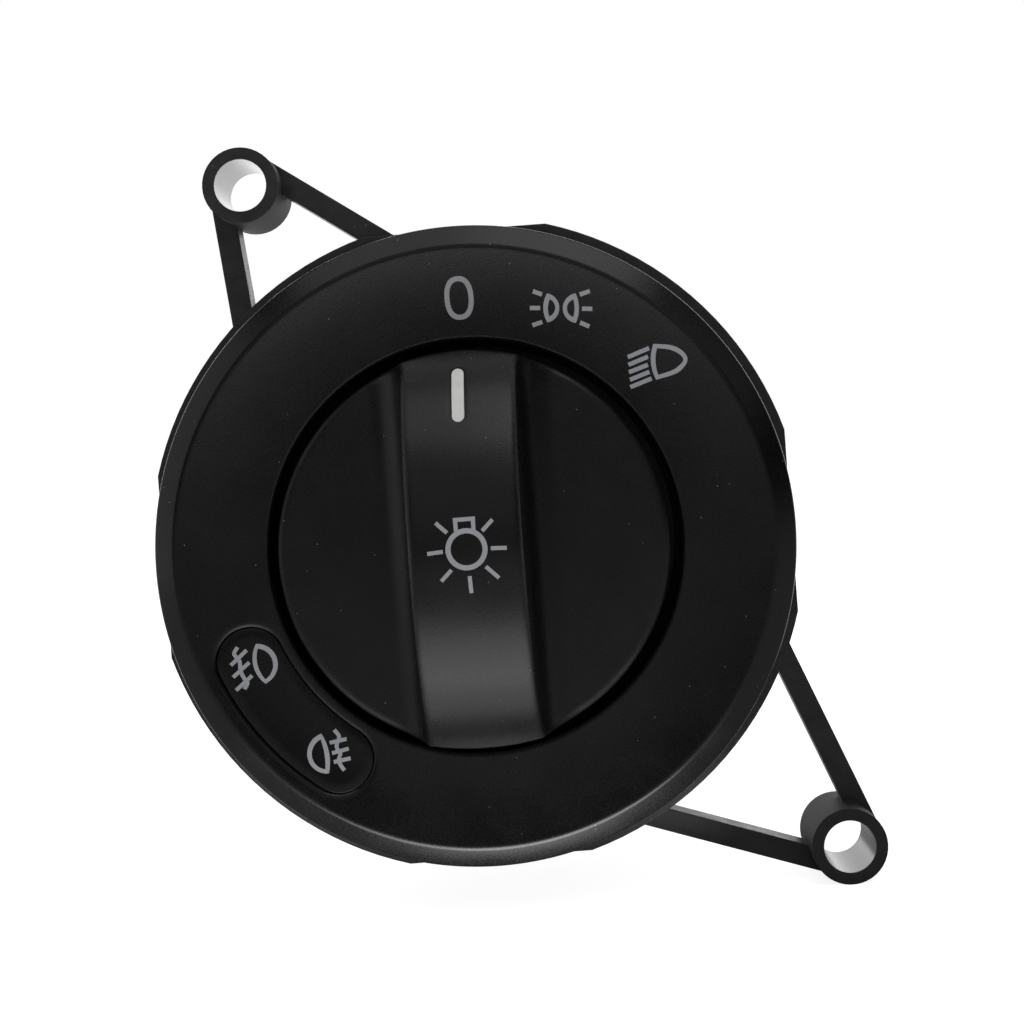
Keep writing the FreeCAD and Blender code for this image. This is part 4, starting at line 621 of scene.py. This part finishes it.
# Fog lamp window
# A plug of smoke-tinted polycarbonate behind which the two fog lamp signs light up. It is pushed
# in from behind, lies a quarter of a millimetre below the dial and is a little glossier than it.
WINDOW_SINK = 0.25
WINDOW_GAP = 0.1
WINDOW_BACK = -3.2
PLUG_EDGE = 0.06
PLUG_HALF = WINDOW_HALF - WINDOW_GAP
PLUG_RINGS = (0.0, 1.3, 2.6)
bend = np.linspace(*WINDOW_ENDS, 31)
fan = np.linspace(0, 180, 17)[1:-1]
plug_middle = WINDOW_RADIUS * around(np.concatenate([
    bend, np.full(len(fan), bend[-1]), bend[::-1], np.full(len(fan), bend[0])]))
plug_way = around(np.concatenate([bend, bend[-1] + fan, bend[::-1] + 180, bend[0] + 180 + fan]))
plug = [on_dial(plug_middle + plug_way * half, WINDOW_SINK)
        for half in (*PLUG_RINGS, PLUG_HALF - PLUG_EDGE)]
for roll in np.radians((30, 60, 90)):
    plug.append(on_dial(plug_middle + plug_way * (PLUG_HALF - PLUG_EDGE * (1 - math.sin(roll))),
                        WINDOW_SINK + PLUG_EDGE * (1 - math.cos(roll))))
for half in (PLUG_HALF, *PLUG_RINGS[::-1]):
    across = plug_middle + plug_way * half
    plug.append(np.stack([across[:, 0], np.full(len(across), WINDOW_BACK), across[:, 1]], 1))
window_smoke = plastic(
    "window_smoke", ((0.0016, 0.0016, 0.0018), (0.0028, 0.0028, 0.0032)), (0.20, 0.26), 7000,
    0.006, clouds=90.0, dust=0.03, gloss=0.42)
piece = skin("fog_lamp_window", [(np.stack(plug), True, False)], window_smoke, "housing")
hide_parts("fog_window")

# Printed symbols
# The black paint of the dial and of the knob is cut away by laser down to the pale coat below, so
# that the lamps behind can shine through. They are generic lamp signs, drawn in millimetres as
# X to the right and Z up, and each lies 0.02 mm proud of the face that carries it.
ARCH_RADIUS = 27.069
ARCH_CENTRE = 5.469
PROUD = 0.02
LAYER_STEP = 0.002
ROOT = 0.1
LONGEST_STEP = 0.3
DIAL_LINE = 0.5
FOG_LINE = 0.45
CAP_LINE = 0.44
RAY_LINE = 0.42


def dial_height(x, z):
    """Y of the dial at a place across it."""
    return dial_y(np.hypot(x, z))


def window_height(x, z):
    """Y of the fog lamp window, which lies below the dial."""
    return dial_height(x, z) + WINDOW_SINK


def bar_height(x, z):
    """Y of the grip bar's arched top: a cylinder along X."""
    return ARCH_CENTRE - np.sqrt(ARCH_RADIUS ** 2 - z ** 2)


def bow(start, middle, end, count=24):
    """Points of the circle's arc through three points."""
    a, b, c = (complex(*p) for p in (start, middle, end))
    w = (c - a) / (b - a)
    centre = (b - a) * (w - abs(w) ** 2) / (2j * w.imag) + a
    half = (np.angle((b - centre) / (a - centre)), np.angle((c - centre) / (b - centre)))
    angles = np.angle(a - centre) + np.linspace(0, sum(half), count)
    path = centre + abs(a - centre) * np.exp(1j * angles)
    return np.stack([path.real, path.imag], 1)


def smooth(points, count=12):
    """Points of the Catmull-Rom curve through a row of points, count to each step."""
    row = np.array(points, float)
    row = np.concatenate([2 * row[:1] - row[1:2], row, 2 * row[-1:] - row[-2:-1]])
    t = np.linspace(0, 1, count, endpoint=False)[None, :, None]
    a, b, c, d = (row[i:len(row) - 3 + i, None, :] for i in range(4))
    curve = 0.5 * (2 * b + (c - a) * t + (2 * a - 5 * b + 4 * c - d) * t ** 2
                   + (3 * b - a - 3 * c + d) * t ** 3)
    return np.concatenate([curve.reshape(-1, 2), row[-2:-1]])


def stroke(points, width):
    """Left and right edges of a line of even width along a path, mitred at its corners."""
    path = np.array(points, float)
    steps = np.diff(path, axis=0)
    steps /= np.linalg.norm(steps, axis=1)[:, None]
    before = np.concatenate([steps[:1], steps])
    middle = before + np.concatenate([steps, steps[-1:]])
    middle /= np.linalg.norm(middle, axis=1)[:, None]
    side = np.stack([-middle[:, 1], middle[:, 0]], 1)
    reach = width / 2 / np.clip((middle * before).sum(1), 0.3, 1)
    return path + side * reach[:, None], path - side * reach[:, None], False


def bars(width, *pairs):
    """Straight lines of one width."""
    return [stroke(pair, width) for pair in pairs]


def frame_of(outer, inner):
    """A closed line between an outer and an inner outline that have equally many points."""
    return np.concatenate(outer), np.concatenate(inner), True


def two_bows(tips, bulges):
    """An outline of two bows between two tips."""
    return [bow(tips[0], bulges[0], tips[1])[:-1], bow(tips[1], bulges[1], tips[0])[:-1]]


def lens(tips, bulges, inner_tips, inner_bulges):
    """A lamp's lens as a closed line."""
    return frame_of(two_bows(tips, bulges), two_bows(inner_tips, inner_bulges))


def divided(edge, other, closed):
    """The same ribbon with its long straight steps divided, so that it follows a curved face."""
    if closed:
        edge, other = (np.concatenate([e, e[:1]]) for e in (edge, other))
    lengths = np.linalg.norm(np.diff(edge, axis=0), axis=1)
    parts = np.maximum(1, np.ceil(lengths / LONGEST_STEP)).astype(int)
    at = np.concatenate([i + np.arange(n) / n for i, n in enumerate(parts)] + [[len(parts)]])
    ticks = np.arange(len(edge))
    made = [np.stack([np.interp(at, ticks, e[:, 0]), np.interp(at, ticks, e[:, 1])], 1)
            for e in (edge, other)]
    return [e[:-1] for e in made] if closed else made


def print_symbol(name, ribbons, face, body):
    """Each ribbon becomes a closed strip: both edges at 0.02 mm above and 0.1 mm below the face.
    Ribbons that cross differ in height by a few thousandths."""
    patches = []
    for layer, (edge, other, closed) in enumerate(ribbons):
        edge, other = divided(edge, other, closed)
        proud = PROUD + LAYER_STEP * (layer % 3)
        rings = [np.stack([p[:, 0], face(p[:, 0], p[:, 1]) + shift, p[:, 1]], 1)
                 for p, shift in ((edge, ROOT), (edge, -proud), (other, -proud), (other, ROOT))]
        grid = np.stack(rings, 1)
        if not closed:
            ends = grid[[0, -1]].mean(axis=1, keepdims=True).repeat(4, axis=1)
            grid = np.concatenate([ends[:1], grid, ends[1:]])
        patches.append((grid, True, closed))
    skin(name, patches, ink, body)


ink = plastic("dial_print", ((0.285, 0.29, 0.31), (0.32, 0.325, 0.345)), (0.45, 0.6), 5000, 0.002)
angle = np.linspace(0, 2 * math.pi, 97)[:-1]

ZERO_CENTRE = (0.25, 28.95)
ZERO_ROUNDING = 2 / 2.35


def oval(half_x, half_z):
    """A superellipse round the middle of the zero."""
    x, z = (np.sign(f(angle)) * np.abs(f(angle)) ** ZERO_ROUNDING for f in (np.cos, np.sin))
    return [np.stack([ZERO_CENTRE[0] + half_x * x, ZERO_CENTRE[1] + half_z * z], 1)]


print_symbol("sign_off", [frame_of(oval(1.69, 2.51), oval(1.105, 1.92))],
             dial_height, "housing")

PARKING_LAMPS = [
    lens([(10.5, 28.7), (10.3, 25.35)], [(9.93, 27.03), (11.8, 26.9)],
         [(10.77, 28.01), (10.57, 26.04)], [(10.48, 27.02), (11.32, 26.95)]),
    lens([(13.81, 28.44), (13.59, 25.04)], [(12.2, 26.85), (14.07, 26.7)],
         [(13.5, 27.75), (13.35, 25.75)], [(12.68, 26.8), (13.55, 26.73)])]
PARKING_RAYS = bars(
    DIAL_LINE, ((8.88, 29.08), (9.92, 28.61)), ((8.38, 27.19), (9.57, 27.08)),
    ((8.52, 25.17), (9.71, 25.47)), ((14.28, 28.26), (15.46, 28.56)),
    ((14.42, 26.62), (15.61, 26.51)), ((14.08, 25.05), (15.13, 24.51)))
print_symbol("sign_parking_lamps", PARKING_LAMPS + PARKING_RAYS,
             dial_height, "housing")

BEAM_OUTER = [(22.37, 21.92), (24.41, 21.59), (25.67, 20.83), (26.17, 19.8), (25.53, 18.78),
              (24.5, 18.21), (22.41, 17.75)]
BEAM_INNER = [(22.75, 21.39), (24.2, 21.1), (25.25, 20.5), (25.68, 19.8), (25.1, 19.15),
              (24.3, 18.7), (22.7, 18.3)]
BEAM_LAMP = frame_of(*([smooth(bulb)[:-1], bow(bulb[-1], back, bulb[0])[:-1]] for bulb, back in (
    (BEAM_OUTER, (21.94, 19.85)), (BEAM_INNER, (22.48, 19.85)))))
BEAM_RAYS = bars(
    DIAL_LINE, ((19.32, 20.63), (21.85, 21.47)), ((19.33, 19.74), (21.65, 20.49)),
    ((19.32, 18.87), (21.58, 19.56)), ((19.38, 17.99), (21.69, 18.73)),
    ((19.36, 17.13), (21.9, 17.95)))
print_symbol("sign_low_beam", [BEAM_LAMP] + BEAM_RAYS, dial_height, "housing")

FRONT_FOG_LAMP = lens([(-26.4, -9.43), (-25.61, -14.13)], [(-26.85, -11.95), (-24.05, -12.06)],
                      [(-26.23, -10.0), (-25.58, -13.61)], [(-26.35, -11.95), (-24.59, -12.0)])
FRONT_FOG_WAVE = stroke(smooth([
    (-28.51, -9.62), (-28.93, -10.38), (-28.39, -11.26), (-28.33, -12.37), (-28.0, -13.23),
    (-27.63, -13.81), (-28.01, -14.53)]), FOG_LINE)
FRONT_FOG_RAYS = bars(
    FOG_LINE, ((-29.39, -11.65), (-27.5, -10.07)), ((-29.21, -13.05), (-27.28, -11.5)),
    ((-28.97, -14.58), (-27.06, -13.04)))
print_symbol("sign_front_fog", [FRONT_FOG_LAMP, FRONT_FOG_WAVE] + FRONT_FOG_RAYS,
             window_height, "housing")

REAR_FOG_LAMP = lens([(-19.58, -20.42), (-18.96, -25.04)], [(-21.32, -22.45), (-18.81, -22.7)],
                     [(-19.69, -21.09), (-19.34, -24.53)], [(-20.8, -22.6), (-19.35, -22.8)])
REAR_FOG_WAVE = stroke(smooth([
    (-18.05, -20.11), (-17.55, -20.94), (-17.87, -21.8), (-17.84, -22.35), (-17.53, -22.92),
    (-17.75, -23.58), (-17.54, -24.28), (-17.16, -24.86)]), FOG_LINE)
REAR_FOG_RAYS = bars(
    FOG_LINE, ((-18.68, -21.56), (-16.7, -21.29)), ((-18.48, -22.77), (-16.53, -22.42)),
    ((-18.34, -23.8), (-16.37, -23.54)))
print_symbol("sign_rear_fog", [REAR_FOG_LAMP, REAR_FOG_WAVE] + REAR_FOG_RAYS,
             window_height, "housing")

BULB_CENTRE = (0.16, 0.84)
BULB = frame_of(*([radius * np.stack([np.cos(angle), np.sin(angle)], 1) + BULB_CENTRE]
                  for radius in (2.2, 1.66)))
BULB_CAP = stroke([(-0.81, 2.75), (-0.835, 3.96), (1.04, 3.965), (1.02, 2.7)], CAP_LINE)
BULB_RAYS = bars(
    RAY_LINE, ((-3.97, 0.66), (-2.33, 0.76)), ((-2.9, 3.81), (-1.75, 2.67)),
    ((3.06, 3.73), (1.91, 2.62)), ((4.35, 0.68), (2.69, 0.77)), ((3.32, -2.39), (2.03, -1.09)),
    ((0.32, -3.77), (0.27, -1.97)), ((-2.71, -2.3), (-1.56, -1.19)))
print_symbol("sign_lamp_switch", [BULB, BULB_CAP] + BULB_RAYS, bar_height, "knob")

# Knob
# The cap is one moulding in the bezel's black ABS, its arched grip bar polished a little by
# fingers. A pale insert in the bar is the pointer; the clear rod behind it brings it light.
knob_black = plastic(
    "knob_black", ((0.0018, 0.0018, 0.0018), (0.0032, 0.0032, 0.0032)), (0.27, 0.33), 7000, 0.015,
    clouds=200.0, edge=0.9, dust=0.06, gloss=0.42)
dress(["knob_cap"], knob_black)
dress(["knob_pointer"], plastic(
    "pointer_white", ((0.56, 0.56, 0.54), (0.64, 0.64, 0.62)), (0.36, 0.46), 5000, 0.003,
    clouds=900.0, edge=0.12))

# The bar's top is crowned across by a quarter of a millimetre: 1 - (x / half width) squared, as a
# broad bump below the grain.
BAR_HALF = 6.3
BAR_CROWN = 0.25
tree = knob_black.node_tree
across = add(tree, "ShaderNodeSeparateXYZ", {0: object_place(tree)})
share = maths(tree, "DIVIDE", across.outputs["X"], BAR_HALF * MM)
square = maths(tree, "MULTIPLY", share, share)
crown = add(tree, "ShaderNodeMath", {0: 1.0, 1: square}, operation="SUBTRACT", use_clamp=True)
grain_bump = tree.nodes["Principled BSDF"].inputs["Normal"].links[0].from_node
below = grain_bump.inputs["Normal"].links[0].from_socket
tree.links.new(bump(tree, crown.outputs[0], BAR_CROWN, below), grain_bump.inputs["Normal"])

# Studio
# A pale paper floor under the switch and a white room behind it. Soft panels stand above, at the
# sides, behind, and flat on the floor in front of and below it, as in a light table set. The room
# is white for the camera and for reflections of what lies behind the switch.
FLOOR_HALF = 6
PAPER = (0.42, 0.42, 0.42, 1)
WHITE = (1, 1, 1, 1)
low = cad_box[0].z
floor_mesh = bpy.data.meshes.new("floor")
floor_mesh.from_pydata([(x * FLOOR_HALF, y * FLOOR_HALF, low)
                        for x, y in ((-1, -1), (1, -1), (1, 1), (-1, 1))], [], [(0, 1, 2, 3)])
floor = bpy.data.objects.new("floor", floor_mesh)
bpy.context.scene.collection.objects.link(floor)
paper, tree, shader = new_material("paper_floor")
shader.inputs["Base Color"].default_value = PAPER
shader.inputs["Roughness"].default_value = 0.9
shader.inputs["Specular IOR Level"].default_value = 0.1
shader.inputs["Emission Color"].default_value = WHITE
# The camera sees the paper as lit from below, a little less close to the switch: a painted shade
# round the switch, so that its shadow is not lost in the white. Reflections see it so only behind
# the switch.
ray = add(tree, "ShaderNodeLightPath", {}).outputs
place = object_place(tree)
away = add(tree, "ShaderNodeVectorMath", {0: place}, operation="LENGTH").outputs["Value"]
seen = maths(tree, "MULTIPLY", remap(tree, away, 0.05, 0.30, 0.86, 1.0), ray["Is Camera Ray"])
behind = add(tree, "ShaderNodeSeparateXYZ", {0: place}).outputs["Y"]
mirrored = maths(tree, "MAXIMUM", ray["Is Glossy Ray"], ray["Is Transmission Ray"])
reflected = maths(tree, "MULTIPLY", remap(tree, behind, 0.0, 0.10, 0.0, 0.9), mirrored)
tree.links.new(maths(tree, "MAXIMUM", seen, reflected), shader.inputs["Emission Strength"])
floor_mesh.materials.append(paper)

# The room lights the switch evenly from all round. Reflections see it white behind the switch and
# dark in front, where only the panels show.
ROOM_LEVEL = 0.45
world = bpy.data.worlds.new("studio")
bpy.context.scene.world = world
world.use_nodes = True
tree = world.node_tree
background = tree.nodes["Background"]
background.inputs["Color"].default_value = WHITE
ray = add(tree, "ShaderNodeLightPath", {}).outputs
direction = add(tree, "ShaderNodeTexCoord", {}).outputs["Generated"]
behind = add(tree, "ShaderNodeSeparateXYZ", {0: direction}).outputs["Y"]
room = mix(tree, ray["Is Diffuse Ray"], remap(tree, behind, 0.08, 0.40, 0.02, 1.0), ROOM_LEVEL)
seen = maths(tree, "MAXIMUM", ray["Is Camera Ray"], ray["Is Transmission Ray"])
tree.links.new(maths(tree, "MAXIMUM", room, seen), background.inputs["Strength"])


def panel(name, centre, normal, size, level, spread=180):
    """A soft rectangular lamp that shines along its normal, unseen by the camera itself. Its sides
    are level and upright, and its level is the brightness of its face before it is focused."""
    data = bpy.data.lights.new(name, "AREA")
    data.shape = "RECTANGLE"
    data.size, data.size_y = size
    data.energy = level * math.pi * size[0] * size[1]
    data.spread = math.radians(spread)
    back = -Vector(normal).normalized()
    side = Vector((0, 1, 0)) if abs(back.x) > 0.9 else Vector((1, 0, 0))
    side = (side - back * side.dot(back)).normalized()
    made = bpy.data.objects.new(name, data)
    made.matrix_world = Matrix((side, back.cross(side), back)).transposed().to_4x4()
    made.location = centre
    made.visible_camera = False
    bpy.context.scene.collection.objects.link(made)


UP, DOWN = (0, 0, 1), (0, 0, -1)
table = low + 0.0006
panel("panel_front", (0.0, -0.26, table), UP, (0.40, 0.14), 3.1, spread=156)
panel("panel_far", (-0.01, -0.085, table), UP, (0.11, 0.045), 0.5, spread=130)
panel("panel_below", (-0.004, -0.045, table), UP, (0.10, 0.038), 1.35, spread=130)
panel("panel_under", (-0.006, -0.020, table), UP, (0.10, 0.012), 0.6, spread=130)
panel("panel_lip", (-0.015, -0.0112, low + 0.0042), (0, 0.64, 0.77), (0.086, 0.010), 1.15,
      spread=58)
panel("panel_above", (0.0, -0.16, 0.35), DOWN, (0.50, 0.26), 0.85)
panel("panel_above_right", (0.125, -0.195, 0.34), DOWN, (0.25, 0.31), 0.65)
panel("panel_crest", (0.03, -0.40, 0.20), (0, 0.89, -0.45), (0.50, 0.30), 0.30)
panel("panel_left", (-0.35, -0.11, 0.13), (1, 0.2, -0.2), (0.28, 0.34), 0.48)
panel("panel_right", (0.36, -0.22, 0.22), (-1, 0.3, -0.5), (0.20, 0.20), 0.25)
panel("panel_behind", (0.006, 0.22, 0.014), (0, -1, 0), (0.34, 0.28), 1.1)

# Camera
# It stands 160 mm in front of the lip, a little right of and above the dial's axis, and looks
# straight back. It is turned by 4.3 degrees, as the photo is.
CAMERA_TURN = 4.3
CAMERA_RIGHT = 9.83
CAMERA_UP = 10.98
CAMERA_BACK = 164.3
view = bpy.data.cameras.new("camera")
view.sensor_width = 36.0
view.lens = 48.2
view.shift_x = -0.0469
view.shift_y = -0.0586
view.clip_start = 0.01
view.clip_end = 20.0
camera = bpy.data.objects.new("camera", view)
turn = math.radians(CAMERA_TURN)
right = Vector((math.cos(turn), 0, -math.sin(turn)))
up = Vector((math.sin(turn), 0, math.cos(turn)))
back = Vector((0, -1, 0))
camera.matrix_world = Matrix((right, up, back)).transposed().to_4x4()
camera.location = (right * CAMERA_RIGHT + up * CAMERA_UP + back * CAMERA_BACK) * MM
bpy.context.scene.collection.objects.link(camera)
bpy.context.scene.camera = camera
bpy.context.scene.view_settings.view_transform = "Standard"
